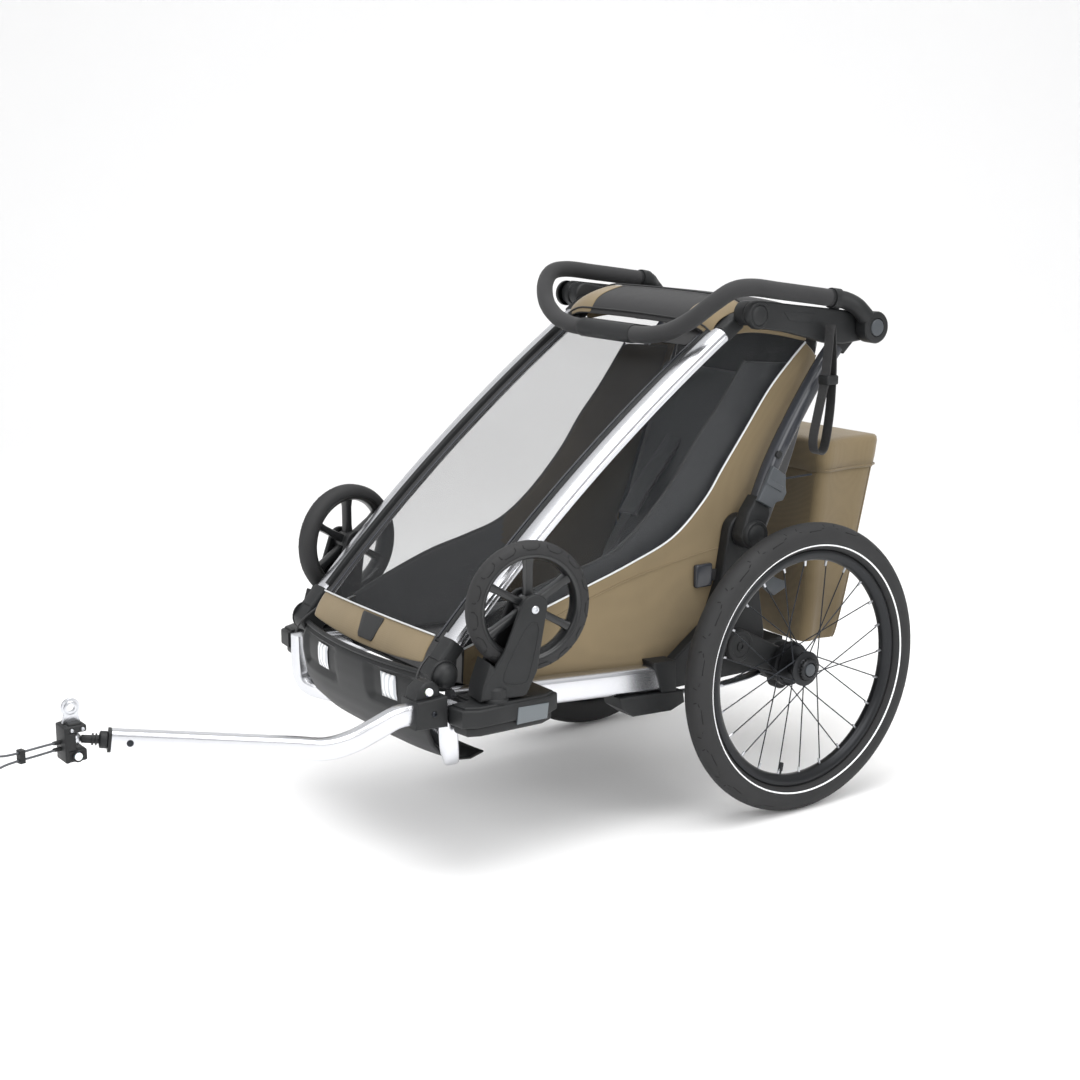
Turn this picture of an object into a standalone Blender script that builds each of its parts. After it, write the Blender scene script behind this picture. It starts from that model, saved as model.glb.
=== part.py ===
"""A single-seat child bicycle trailer, as separate sub-parts.

Metres, +Z up, -Y towards the bicycle, +X to the trailer's left.
The origin is on the road, under the middle of the rear axle.
"""

import math

import bmesh
import bpy
from mathutils import Matrix, Vector

# Driving dimensions
WHEEL_RADIUS = 0.2505
TYRE_SECTION = 0.0235
WHEEL_X = 0.2957
SPOKES = 24
RAIL_INNER_X = 0.187
RAIL_OUTER_X = 0.220
CABIN_HALF_WIDTH = 0.1855
SMALL_WHEEL_RADIUS = 0.1013
SMALL_WHEEL_HALF_WIDTH = 0.016
SMALL_WHEEL_TOE = math.radians(9.7)
BAG_HALF_WIDTH = 0.160
GRIP_RADIUS = 0.0145
LEASH_RADIUS = 0.00175
FABRIC = 0.003
GAP = 0.0004

# Joint places, as (y, z) on axes that run across the trailer
RAIL_HINGE = (-0.670, 0.333)
ROOF_HINGE = (-0.082, 0.849)
HANDLE_HINGE = (0.155, 0.817)
STRUT_HINGE = (-0.067, 0.480)
SUSPENSION_HINGE = (-0.106, 0.296)
AXLE = (0.0, WHEEL_RADIUS)
SMALL_AXLE = Vector((0.277, -0.554, 0.437))
BALL_CENTRE = Vector((0.1046, -1.2120, 0.3066))
ARM_END = Vector((0.120, -1.167, 0.300))
ARM_BEND = Vector((0.220, -0.875, 0.257))

PLASTIC = ("black_plastic", (0.020, 0.020, 0.022), 0.55, 0.0)
GREY_PLASTIC = ("grey_plastic", (0.090, 0.105, 0.110), 0.50, 0.0)
PALE_PLASTIC = ("pale_plastic", (0.750, 0.750, 0.740), 0.40, 0.0)
ALUMINIUM = ("aluminium", (0.700, 0.700, 0.715), 0.35, 1.0)
BLACK_ALLOY = ("black_alloy", (0.025, 0.025, 0.028), 0.45, 0.6)
RUBBER = ("rubber", (0.022, 0.022, 0.023), 0.80, 0.0)
FOAM = ("foam", (0.018, 0.018, 0.019), 0.90, 0.0)
SAND_FABRIC = ("sand_fabric", (0.220, 0.170, 0.100), 0.85, 0.0)
DARK_FABRIC = ("dark_fabric", (0.035, 0.035, 0.037), 0.90, 0.0)
MESH_FABRIC = ("mesh_fabric", (0.060, 0.060, 0.062), 0.85, 0.0)
WEBBING = ("webbing", (0.020, 0.020, 0.022), 0.80, 0.0)


def clear_scene():
    for old in list(bpy.data.objects):
        bpy.data.objects.remove(old, do_unlink=True)


clear_scene()
PARTS = bpy.data.collections.new("child_bicycle_trailer")
CUTTERS = bpy.data.collections.new("cutters")
bpy.context.scene.collection.children.link(PARTS)
bpy.context.scene.collection.children.link(CUTTERS)


def material(finish):
    """The Principled material of a finish, made once."""
    name, colour, roughness, metallic = finish
    made = bpy.data.materials.get(name)
    if made:
        return made
    made = bpy.data.materials.new(name)
    made.use_nodes = True
    shader = made.node_tree.nodes["Principled BSDF"]
    shader.inputs["Base Color"].default_value = (*colour, 1.0)
    shader.inputs["Roughness"].default_value = roughness
    shader.inputs["Metallic"].default_value = metallic
    made.diffuse_color = (*colour, 1.0)
    return made


def add(name, data, finish, location=(0, 0, 0)):
    """Puts a new object of the trailer in its collection."""
    piece = bpy.data.objects.new(name, data)
    piece.location = location
    data.materials.append(material(finish))
    PARTS.objects.link(piece)
    return piece


def as_cutter(piece):
    """Keeps a shape only as a Boolean operand."""
    PARTS.objects.unlink(piece)
    CUTTERS.objects.link(piece)
    piece.hide_render = True
    piece.display_type = "WIRE"
    return piece


def meshed(piece):
    """The same piece as a plain mesh with welded caps, which a Boolean can take."""
    bpy.context.view_layer.update()
    graph = bpy.context.evaluated_depsgraph_get()
    mesh = bpy.data.meshes.new_from_object(piece.evaluated_get(graph))
    work = bmesh.new()
    work.from_mesh(mesh)
    bmesh.ops.remove_doubles(work, verts=work.verts, dist=0.00002)
    bmesh.ops.recalc_face_normals(work, faces=work.faces)
    work.to_mesh(mesh)
    work.free()
    name = piece.name
    finish_material = piece.data.materials[0]
    world = piece.matrix_world.copy()
    bpy.data.objects.remove(piece)
    solid = bpy.data.objects.new(name, mesh)
    solid.matrix_world = world
    mesh.materials.clear()
    mesh.materials.append(finish_material)
    PARTS.objects.link(solid)
    return solid


def combine(piece, others, operation):
    """Joins others to a piece, or cuts them from it, with live Booleans."""
    for other in others:
        boolean = piece.modifiers.new(operation.lower(), "BOOLEAN")
        boolean.operation = operation
        boolean.object = as_cutter(other)
    return piece


def smooth(piece, angle=40):
    piece.data.shade_smooth()
    piece.data.set_sharp_from_angle(angle=math.radians(angle))
    return piece


def mirrored(piece, name):
    """The right-hand copy of a left-hand piece, with its origin mirrored too."""
    bpy.context.view_layer.update()
    graph = bpy.context.evaluated_depsgraph_get()
    mesh = bpy.data.meshes.new_from_object(piece.evaluated_get(graph))
    place = piece.matrix_world.translation
    other_place = Vector((-place.x, place.y, place.z))
    flip = Matrix.Scale(-1, 4, (1, 0, 0))
    mesh.transform(Matrix.Translation(-other_place) @ flip @ piece.matrix_world)
    mesh.flip_normals()
    copy = bpy.data.objects.new(name, mesh)
    copy.location = other_place
    PARTS.objects.link(copy)
    return copy


def block(name, low, high, finish, bevel=0.0, origin=(0, 0, 0)):
    """A box from its lowest to its highest corner, with bevelled edges."""
    low, high, origin = Vector(low), Vector(high), Vector(origin)
    mesh = bpy.data.meshes.new(name)
    work = bmesh.new()
    size = Matrix.Diagonal((*(high - low), 1.0))
    place = Matrix.Translation((low + high) / 2 - origin)
    bmesh.ops.create_cube(work, size=1.0, matrix=place @ size)
    work.to_mesh(mesh)
    work.free()
    piece = add(name, mesh, finish, origin)
    if bevel:
        edges = piece.modifiers.new("edges", "BEVEL")
        edges.width = bevel
        edges.segments = 1
    return piece


def rod(name, start, end, radius, finish, sides=16, origin=(0, 0, 0)):
    """A plain cylinder between two points."""
    start, end, origin = Vector(start), Vector(end), Vector(origin)
    along = end - start
    mesh = bpy.data.meshes.new(name)
    work = bmesh.new()
    turn = along.to_track_quat("Z", "Y").to_matrix().to_4x4()
    place = Matrix.Translation((start + end) / 2 - origin) @ turn
    bmesh.ops.create_cone(
        work,
        cap_ends=True,
        segments=sides,
        radius1=radius,
        radius2=radius,
        depth=along.length,
        matrix=place,
    )
    work.to_mesh(mesh)
    work.free()
    return smooth(add(name, mesh, finish, origin))


def turned(name, profile, finish, centre, steps=24, closed=False):
    """A shape turned about an axis across the trailer.

    The profile holds (x, radius) points from the outboard end to the inboard end,
    and a closed one is a ring that doesn't reach the axis.
    """
    mesh = bpy.data.meshes.new(name)
    points = [(radius, 0.0, x) for x, radius in profile]
    edges = [(i, i + 1) for i in range(len(points) - 1)]
    if closed:
        edges.append((len(points) - 1, 0))
    mesh.from_pydata(points, edges, [])
    piece = add(name, mesh, finish, centre)
    piece.rotation_euler = (0, math.pi / 2, 0)
    screw = piece.modifiers.new("turn", "SCREW")
    screw.axis = "Z"
    screw.steps = steps
    screw.render_steps = steps
    screw.use_merge_vertices = True
    screw.merge_threshold = 0.00005
    return piece


def plate(name, outlines, low_x, high_x, finish, bevel=0.0, origin=(0.0, 0.0)):
    """A side-view outline of (y, z) points, with any holes, given its width along X."""
    curve = bpy.data.curves.new(name, "CURVE")
    curve.dimensions = "2D"
    curve.fill_mode = "BOTH"
    curve.extrude = (high_x - low_x) / 2 - bevel
    curve.bevel_depth = bevel
    curve.bevel_resolution = 0
    curve.offset = -bevel
    for outline in outlines:
        spline = curve.splines.new("POLY")
        spline.points.add(len(outline) - 1)
        for point, (y, z) in zip(spline.points, outline, strict=True):
            point.co = (y - origin[0], z - origin[1], 0.0, 1.0)
        spline.use_cyclic_u = True
    piece = add(name, curve, finish, ((low_x + high_x) / 2, *origin))
    piece.rotation_euler = (math.pi / 2, 0, math.pi / 2)
    return piece


def circle(centre, radius, steps=16, start=0.0):
    """Points round a circle in a side view, anticlockwise from the start angle."""
    turns = [start + 2 * math.pi * i / steps for i in range(steps)]
    return [(centre[0] + radius * math.cos(t), centre[1] + radius * math.sin(t)) for t in turns]


def arc(centre, radius, start, end, steps=8):
    """Points along an arc between two angles in degrees."""
    turns = [math.radians(start + (end - start) * i / steps) for i in range(steps + 1)]
    return [(centre[0] + radius * math.cos(t), centre[1] + radius * math.sin(t)) for t in turns]


def smooth_route(points, per_span=3):
    """Points of a Catmull-Rom curve through the given points."""
    given = [Vector(p) for p in points]
    given = [2 * given[0] - given[1], *given, 2 * given[-1] - given[-2]]
    route = []
    for i in range(1, len(given) - 2):
        p0, p1, p2, p3 = given[i - 1 : i + 3]
        for step in range(per_span):
            t = step / per_span
            bend = (2 * p0 - 5 * p1 + 4 * p2 - p3) * t * t
            twist = (3 * p1 - p0 - 3 * p2 + p3) * t * t * t
            route.append(0.5 * (2 * p1 + (p2 - p0) * t + bend + twist))
    route.append(given[-2])
    return route


def tube(name, points, radius, finish, origin=(0, 0, 0), resolution=2):
    """A round tube along points, with filled ends."""
    curve = bpy.data.curves.new(name, "CURVE")
    curve.dimensions = "3D"
    curve.bevel_depth = radius
    curve.bevel_resolution = resolution
    curve.use_fill_caps = True
    spline = curve.splines.new("POLY")
    spline.points.add(len(points) - 1)
    for point, place in zip(spline.points, points, strict=True):
        point.co = (*(Vector(place) - Vector(origin)), 1.0)
    return add(name, curve, finish, origin)


def across(half):
    """A route's left half, followed by its mirror image."""
    half = [Vector(p) for p in half]
    return half + [Vector((-p.x, p.y, p.z)) for p in reversed(half) if p.x > 0]


def rail_line(y):
    """Height of the side rails' middle line, which falls towards the axle."""
    return 0.2705 - 0.0747 * (y + 0.465)


RAIL_FACE_LOW = Vector((-0.661, 0.375))
RAIL_FACE_HIGH = Vector((-0.117, 0.832))
RAIL_TOP = 0.035
RAIL_DEPTH = 0.027
RAIL_BOW = 0.020


def rail_edge(offset, reach_low, reach_high, steps=10):
    """Points along a rail, a given depth below its face, with its slight bow."""
    along = (RAIL_FACE_HIGH - RAIL_FACE_LOW).normalized()
    down = Vector((along.y, -along.x))
    length = (RAIL_FACE_HIGH - RAIL_FACE_LOW).length
    edge = []
    for i in range(steps + 1):
        reach = reach_low + (reach_high - reach_low) * i / steps
        bow = RAIL_BOW * (1 - (2 * reach / length - 1) ** 2)
        place = RAIL_FACE_LOW + along * reach + down * (offset - bow)
        edge.append(tuple(place))
    return edge


# Chassis

def make_side_rail():
    front, rear, half_height = -0.650, -0.2155, 0.0215
    outline = [
        (front, rail_line(front) - half_height),
        (rear, rail_line(rear) - half_height),
        (rear, rail_line(rear) + half_height),
        (front, rail_line(front) + half_height),
    ]
    return plate("side_rail_left", [outline], 0.190, RAIL_OUTER_X, ALUMINIUM, 0.006)


def make_floor_pan():
    front, rear, half = -0.595, -0.080, 0.0025
    outline = [
        (front, rail_line(front) - half),
        (rear, rail_line(rear) - half),
        (rear, rail_line(rear) + half),
        (front, rail_line(front) + half),
    ]
    return plate("floor_pan", [outline], -0.1895, 0.1895, PLASTIC)


def make_front_cross_tube():
    half = [
        (0.238, -0.674, 0.296),
        (0.238, -0.674, 0.250),
        (0.237, -0.672, 0.224),
        (0.226, -0.664, 0.206),
        (0.200, -0.646, 0.198),
        (0.130, -0.612, 0.196),
        (0.050, -0.600, 0.196),
        (0.000, -0.600, 0.196),
    ]
    return tube("front_cross_tube", smooth_route(across(half), 2), 0.0125, ALUMINIUM)


def make_rear_axle_beam():
    return rod("rear_axle_beam", (-0.1896, -0.030, 0.252), (0.1896, -0.030, 0.252), 0.014, BLACK_ALLOY)


def make_rear_post():
    y, z = STRUT_HINGE
    outline = arc((y, z), 0.030, 10, 170, 8)
    outline += [(-0.112, 0.400), (-0.140, 0.330), (-0.214, 0.278), (-0.214, 0.230)]
    outline += [(-0.016, 0.230), (-0.012, 0.300), (-0.030, 0.400)]
    return plate("rear_post_left", [outline], 0.190, 0.212, PLASTIC, 0.003)


def make_wing():
    """The accessory socket beside the front wheel's fork, with its through hole."""
    outline = [
        (0.2205, -0.654),
        (0.2540, -0.654),
        (0.2560, -0.686),
        (0.2900, -0.682),
        (0.3020, -0.660),
        (0.3020, -0.530),
        (0.2900, -0.508),
        (0.2205, -0.508),
    ]
    low, high = 0.254, 0.300
    body = plate("wing_left", [outline], low, high, PLASTIC, 0.004)
    body.rotation_euler = (0, 0, 0)
    body.location = (0, 0, (low + high) / 2)
    body = meshed(body)
    bore = rod("wing_bore", (0.280, -0.616, low - 0.01), (0.280, -0.616, high + 0.01), 0.0145, PLASTIC, 20)
    return combine(body, [bore], "DIFFERENCE")


def make_nose_cover():
    """A moulded shell in front of the cross tube, bowed towards the bicycle."""
    side = [
        (-0.682, 0.333),
        (-0.690, 0.310),
        (-0.692, 0.270),
        (-0.688, 0.235),
        (-0.668, 0.200),
        (-0.640, 0.178),
        (-0.600, 0.170),
        (-0.570, 0.176),
    ]
    columns = 12
    mesh = bpy.data.meshes.new("nose_cover")
    work = bmesh.new()
    bmesh.ops.create_grid(work, x_segments=columns, y_segments=len(side) - 1, size=0.5)
    for vert in work.verts:
        row = round((0.5 - vert.co.y) * (len(side) - 1))
        across_share = 2 * vert.co.x
        y, z = side[row]
        half_width = 0.184 if row < 2 else 0.198 - 0.003 * (row - 2)
        bow = 0.020 * (1 - across_share**2) * (1 - row / (len(side) - 1))
        vert.co = (half_width * across_share, y - bow, z)
    bmesh.ops.recalc_face_normals(work, faces=work.faces)
    work.to_mesh(mesh)
    work.free()
    piece = add("nose_cover", mesh, PLASTIC)
    wall = piece.modifiers.new("wall", "SOLIDIFY")
    wall.thickness = 0.003
    wall.offset = 0.0
    return piece


def make_hitch_receiver():
    body = block("hitch_receiver", (0.214, -0.745, 0.268), (0.262, -0.6885, 0.312), PLASTIC)
    lock = block("receiver_lock", (0.222, -0.738, 0.310), (0.250, -0.698, 0.337), PLASTIC)
    socket = block("receiver_socket", (0.2245, -0.760, 0.2755), (0.2555, -0.7095, 0.3065), PLASTIC)
    bore = rod("receiver_bore", (0.2445, -0.717, 0.3235), (0.2600, -0.717, 0.3235), 0.0063, PLASTIC, 16)
    combine(body, [lock], "UNION")
    return combine(body, [socket, bore], "DIFFERENCE")


def make_seat():
    base = block("seat_base", (-0.165, -0.430, 0.290), (0.165, -0.110, 0.326), DARK_FABRIC, 0.008)
    outline = [(-0.106, 0.286), (-0.076, 0.286), (0.082, 0.730), (0.074, 0.742), (0.052, 0.742), (-0.108, 0.300)]
    plate("seat_back", [outline], -0.165, 0.165, DARK_FABRIC, 0.006)
    return base


def make_cabin_shell():
    """Fabric sides, back and sill in one, open at the front and at the top."""
    outer = [
        (-0.612, 0.292),
        (-0.060, 0.262),
        (-0.020, 0.380),
        (0.020, 0.459),
        (0.058, 0.552),
        (0.097, 0.644),
        (0.134, 0.776),
        (0.128, 0.821),
        (0.070, 0.839),
        (0.000, 0.852),
        (-0.060, 0.855),
        (-0.095, 0.845),
    ]
    outer += rail_edge(0.0105, 0.0, 0.700)[::-1]
    inner = [
        (-0.640, 0.300),
        (-0.064, 0.266),
        (-0.024, 0.381),
        (0.016, 0.460),
        (0.054, 0.553),
        (0.0935, 0.645),
        (0.1305, 0.776),
        (0.1200, 0.900),
        (-0.250, 0.800),
        (-0.700, 0.420),
    ]
    shell = meshed(plate("cabin_shell", [outer], -CABIN_HALF_WIDTH, CABIN_HALF_WIDTH, SAND_FABRIC))
    inside = CABIN_HALF_WIDTH - FABRIC
    room = meshed(plate("cabin_room", [inner], -inside, inside, SAND_FABRIC))
    return combine(shell, [room], "DIFFERENCE")


def make_front_cover():
    """The mesh front window with its fabric apron, just under the rails' faces."""
    outline = [(-0.681, 0.3445), *rail_edge(0.006, 0.0, 0.690)]
    outline += [*rail_edge(0.009, 0.0, 0.690)[::-1], (-0.6785, 0.3425)]
    return plate("front_cover", [outline], -CABIN_HALF_WIDTH, CABIN_HALF_WIDTH, MESH_FABRIC)


def make_cargo_bag():
    outer = [(0.135, 0.239), (0.216, 0.239), (0.264, 0.427), (0.302, 0.590), (0.166, 0.590)]
    inner = [(0.1395, 0.243), (0.2135, 0.243), (0.260, 0.428), (0.3005, 0.610), (0.1720, 0.610)]
    shell = meshed(plate("cargo_bag", [outer], -BAG_HALF_WIDTH, BAG_HALF_WIDTH, SAND_FABRIC))
    inside = BAG_HALF_WIDTH - FABRIC
    room = meshed(plate("bag_room", [inner], -inside, inside, SAND_FABRIC))
    return combine(shell, [room], "DIFFERENCE")


def make_bag_lid():
    origin = (0.0, 0.308, 0.5905)
    return block("bag_lid", (-0.164, 0.162, 0.5905), (0.164, 0.308, 0.6045), SAND_FABRIC, 0.004, origin)


def make_brake_pedal():
    """A foot lever that turns on the axle beam."""
    y, z = -0.030, 0.252
    outline = arc((y, z), 0.022, 30, 330, 12)
    outline += [(0.075, 0.232), (0.112, 0.240), (0.112, 0.250), (0.075, 0.246)]
    hole = circle((y, z), 0.0145)
    return plate("brake_pedal", [outline, hole], 0.060, 0.125, PLASTIC, 0.0, (y, z))


# Folding frame

def make_front_rail():
    length = (RAIL_FACE_HIGH - RAIL_FACE_LOW).length
    end = length + RAIL_TOP
    outline = rail_edge(0.0, 0.0, end) + rail_edge(RAIL_DEPTH, 0.0, end)[::-1]
    outline = outline[::-1]
    return plate(
        "front_rail_left", [outline], RAIL_INNER_X, RAIL_OUTER_X, ALUMINIUM, 0.006, RAIL_HINGE
    )


def make_rail_foot():
    """The knuckle under a rail, with the round cap of its hinge."""
    along = (RAIL_FACE_HIGH - RAIL_FACE_LOW).normalized()
    top = RAIL_FACE_LOW - along * GAP
    down = Vector((along.y, -along.x))
    outline = [tuple(top), tuple(top + down * RAIL_DEPTH)]
    outline += arc(RAIL_HINGE, 0.024, -20, -190, 8)
    outline = outline[::-1]
    foot = plate("rail_foot_left", [outline], RAIL_INNER_X, RAIL_OUTER_X, PLASTIC, 0.003, RAIL_HINGE)
    foot = meshed(foot)
    profile = [(0.020, 0.0), (0.018, 0.009), (0.013, 0.0165), (0.006, 0.0205), (-0.006, 0.0205), (-0.006, 0.0)]
    cap = meshed(turned("foot_cap", profile, PLASTIC, (RAIL_OUTER_X, *RAIL_HINGE), 16))
    return combine(foot, [cap], "UNION")


def make_top_arm():
    """The housing from the roof hinge to the handlebar's pivot, with its clearance eye."""
    outline = arc(ROOF_HINGE, 0.0225, 82, 250, 10)
    outline += [(-0.020, 0.8100), (0.040, 0.7985), (0.100, 0.7950)]
    outline += arc(HANDLE_HINGE, 0.022, 262, 442, 10)
    arm = plate(
        "top_arm_left",
        [outline, circle(HANDLE_HINGE, 0.014)],
        0.2405,
        0.262,
        PLASTIC,
        0.002,
        ROOF_HINGE,
    )
    arm = meshed(arm)
    boss = rod("arm_boss", (0.2205, *ROOF_HINGE), (0.2500, *ROOF_HINGE), 0.021, PLASTIC, 20)
    return combine(arm, [boss], "UNION")


def make_roof_panel():
    top = [(-0.137, 0.827), (-0.115, 0.852), (-0.060, 0.867), (0.000, 0.864), (0.070, 0.850), (0.128, 0.832)]
    outline = top[::-1] + [(y, z - 0.005) for y, z in top]
    return plate("roof_panel", [outline], -0.183, 0.183, DARK_FABRIC, 0.0, ROOF_HINGE)


STRUT_AXIS = [(-0.057, 0.505), (-0.022, 0.587), (0.024, 0.6615), (0.085, 0.745), (0.132, 0.796)]


def make_strut():
    """A rear strut with its hinge disc below and the handlebar's pivot pin above."""
    half = 0.014
    points = [Vector(p) for p in STRUT_AXIS]
    left, right = [], []
    for i, point in enumerate(points):
        along = (points[min(i + 1, len(points) - 1)] - points[max(i - 1, 0)]).normalized()
        side = Vector((-along.y, along.x)) * half
        left.append(tuple(point + side))
        right.append(tuple(point - side))
    outline = right + arc(HANDLE_HINGE, 0.018, -55, 150, 8) + left[::-1]
    outline += arc(STRUT_HINGE, 0.026, 165, 375, 12)
    strut = plate("strut_left", [outline], 0.2125, 0.240, PLASTIC, 0.004, STRUT_HINGE)
    strut = meshed(strut)
    disc = rod("strut_disc", (0.2300, *STRUT_HINGE), (0.2500, *STRUT_HINGE), 0.024, PLASTIC, 20)
    pin = rod("strut_pin", (0.2300, *HANDLE_HINGE), (0.2620, *HANDLE_HINGE), 0.008, PLASTIC, 16)
    return combine(strut, [disc, pin], "UNION")


def make_rear_cross_tube():
    left, right = (0.2120, *HANDLE_HINGE), (-0.2120, *HANDLE_HINGE)
    return rod("rear_cross_tube", left, right, 0.013, BLACK_ALLOY, 16, (0, *STRUT_HINGE))


def make_strut_latch():
    """The sliding lock on a strut, above its hinge disc."""
    along = Vector((0.490, 0.872)).normalized()
    side = Vector((along.y, -along.x))
    foot = Vector((-0.050, 0.532))
    shape = [(-0.017, 0.0), (0.017, 0.0), (0.030, 0.018), (0.030, 0.038), (0.017, 0.060), (-0.017, 0.060)]
    outline = [tuple(foot + side * s + along * a) for s, a in shape]
    return plate("strut_latch_left", [outline], 0.2405, 0.2500, GREY_PLASTIC, 0.002, tuple(foot))


# Handlebar

GRIP_HALF = [
    (0.2565, 0.0755, 0.8685),
    (0.2545, 0.0300, 0.8755),
    (0.2530, -0.0350, 0.8850),
    (0.2530, -0.0950, 0.8935),
    (0.2490, -0.1330, 0.8900),
    (0.2330, -0.1600, 0.8700),
    (0.2020, -0.1790, 0.8420),
    (0.1600, -0.1890, 0.8210),
    (0.1200, -0.1930, 0.8120),
    (0.0850, -0.1940, 0.8090),
    (0.0000, -0.1940, 0.8090),
]


def make_handlebar():
    pivot = (0, *HANDLE_HINGE)
    route = smooth_route(across(GRIP_HALF), 2)
    tube("handlebar_grip", route, GRIP_RADIUS, FOAM, pivot)
    inner, outer, half = GRIP_RADIUS + 0.0003, GRIP_RADIUS + 0.0016, 0.070
    ring = [(half, inner), (half, outer), (-half, outer), (-half, inner)]
    turned("handlebar_sleeve", ring, PLASTIC, (0, *GRIP_HALF[-1][1:]), 24, True)


def make_handlebar_arm():
    """The stub from the foam to the pivot disc, with the release button's bore."""
    route = [
        (0.2566, 0.0780, 0.8681),
        (0.2572, 0.0880, 0.8666),
        (0.2660, 0.1010, 0.8630),
        (0.2760, 0.1180, 0.8530),
        (0.2775, 0.1400, 0.8340),
    ]
    pivot = (0.0, *HANDLE_HINGE)
    stub = meshed(tube("handlebar_arm_left", smooth_route(route, 2), 0.0140, PLASTIC, pivot, 3))
    disc = rod("pivot_disc", (0.2625, *HANDLE_HINGE), (0.2890, *HANDLE_HINGE), 0.027, PLASTIC, 24)
    bore = rod("button_bore", (0.2810, *HANDLE_HINGE), (0.2990, *HANDLE_HINGE), 0.0146, PLASTIC, 20)
    combine(stub, [disc], "UNION")
    return combine(stub, [bore], "DIFFERENCE")


def make_handlebar_button():
    profile = [(0.2905, 0.0), (0.2905, 0.0130), (0.2895, 0.0142), (0.2855, 0.0142), (0.2855, 0.0)]
    return turned("handlebar_button_left", profile, GREY_PLASTIC, (0.0, *HANDLE_HINGE), 20)


# Road wheels

def make_tyre():
    bpy.ops.mesh.primitive_torus_add(
        location=(WHEEL_X, *AXLE),
        rotation=(0, math.pi / 2, 0),
        major_segments=36,
        minor_segments=8,
        major_radius=WHEEL_RADIUS - TYRE_SECTION,
        minor_radius=TYRE_SECTION,
    )
    tyre = bpy.context.object
    tyre.name = "tyre_left"
    for holder in list(tyre.users_collection):
        holder.objects.unlink(tyre)
    PARTS.objects.link(tyre)
    tyre.data.materials.append(material(RUBBER))
    return smooth(tyre)


def make_rim():
    inner, outer = 0.1870, WHEEL_RADIUS - 2 * TYRE_SECTION - 0.0006
    ring = [(0.010, outer), (-0.010, outer), (-0.0125, 0.1960), (-0.006, inner), (0.006, inner), (0.0125, 0.1960)]
    return turned("rim_left", ring, BLACK_ALLOY, (WHEEL_X, *AXLE), 36, True)


def make_wheel_hub():
    """The hub with its brake ring, bore and radial spokes."""
    profile = [
        (0.0040, 0.0),
        (0.0040, 0.0117),
        (0.0185, 0.0117),
        (0.0185, 0.0180),
        (0.0120, 0.0190),
        (0.0100, 0.0290),
        (0.0060, 0.0290),
        (0.0040, 0.0170),
        (-0.0180, 0.0170),
        (-0.0200, 0.0290),
        (-0.0240, 0.0290),
        (-0.0250, 0.0200),
        (-0.0290, 0.0380),
        (-0.0340, 0.0380),
        (-0.0340, 0.0),
    ]
    centre = Vector((WHEEL_X, *AXLE))
    hub = meshed(turned("wheel_hub_left", profile, BLACK_ALLOY, centre, 16))
    spokes = []
    for i in range(SPOKES):
        turn = 2 * math.pi * (i + 0.5) / SPOKES
        out = Vector((0, math.cos(turn), math.sin(turn)))
        flange = 0.0080 if i % 2 else -0.0220
        start = centre + out * 0.0240 + Vector((flange, 0, 0))
        end = centre + out * 0.1860
        spokes.append(rod(f"spoke_{i}", start, end, 0.0012, BLACK_ALLOY, 4))
    return combine(hub, spokes, "UNION")


def make_axle_button():
    profile = [(0.0198, 0.0), (0.0198, 0.0100), (0.0190, 0.0112), (0.0080, 0.0112), (0.0080, 0.0)]
    return turned("axle_button_left", profile, GREY_PLASTIC, (WHEEL_X, *AXLE), 20)


def make_suspension_arm():
    """The trailing arm from its pivot disc to the axle."""
    outline = arc(SUSPENSION_HINGE, 0.029, 60, 250, 10)
    outline += arc(AXLE, 0.019, 250, 420, 8)
    arm = plate("suspension_arm_left", [outline], 0.2405, 0.2585, PLASTIC, 0.003, SUSPENSION_HINGE)
    arm = meshed(arm)
    boss = rod("suspension_boss", (0.2125, *SUSPENSION_HINGE), (0.2500, *SUSPENSION_HINGE), 0.024, PLASTIC, 20)
    return combine(arm, [boss], "UNION")


# Stowed stroller wheels

def toed(piece):
    """Puts a piece made about the origin at the small axle, turned by that wheel's toe."""
    turn = Matrix.Rotation(-SMALL_WHEEL_TOE, 4, "Z")
    piece.matrix_world = Matrix.Translation(SMALL_AXLE) @ turn @ piece.matrix_world
    bpy.context.view_layer.update()
    return piece


def make_stroller_fork():
    """A moulded yoke over the small wheel, with the stem that plugs into the wing."""
    outline = arc((0.0, 0.0), 0.024, 20, 165, 8)
    outline += [(-0.050, -0.060), (-0.090, -0.120), (-0.094, -0.134), (-0.012, -0.134), (0.010, -0.095)]
    half = SMALL_WHEEL_HALF_WIDTH + 0.011
    yoke = meshed(plate("stroller_fork_left", [outline], -half, half, PLASTIC, 0.002))
    room_half = SMALL_WHEEL_HALF_WIDTH + 0.0025
    room = rod("wheel_room", (-room_half, 0, 0), (room_half, 0, 0), SMALL_WHEEL_RADIUS + 0.0035, PLASTIC, 32)
    yoke = toed(meshed(combine(yoke, [room], "DIFFERENCE")))
    stem = rod("fork_stem", (0.280, -0.616, 0.262), (0.280, -0.616, 0.320), 0.0140, PLASTIC, 20)
    return combine(yoke, [stem], "UNION")


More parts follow.
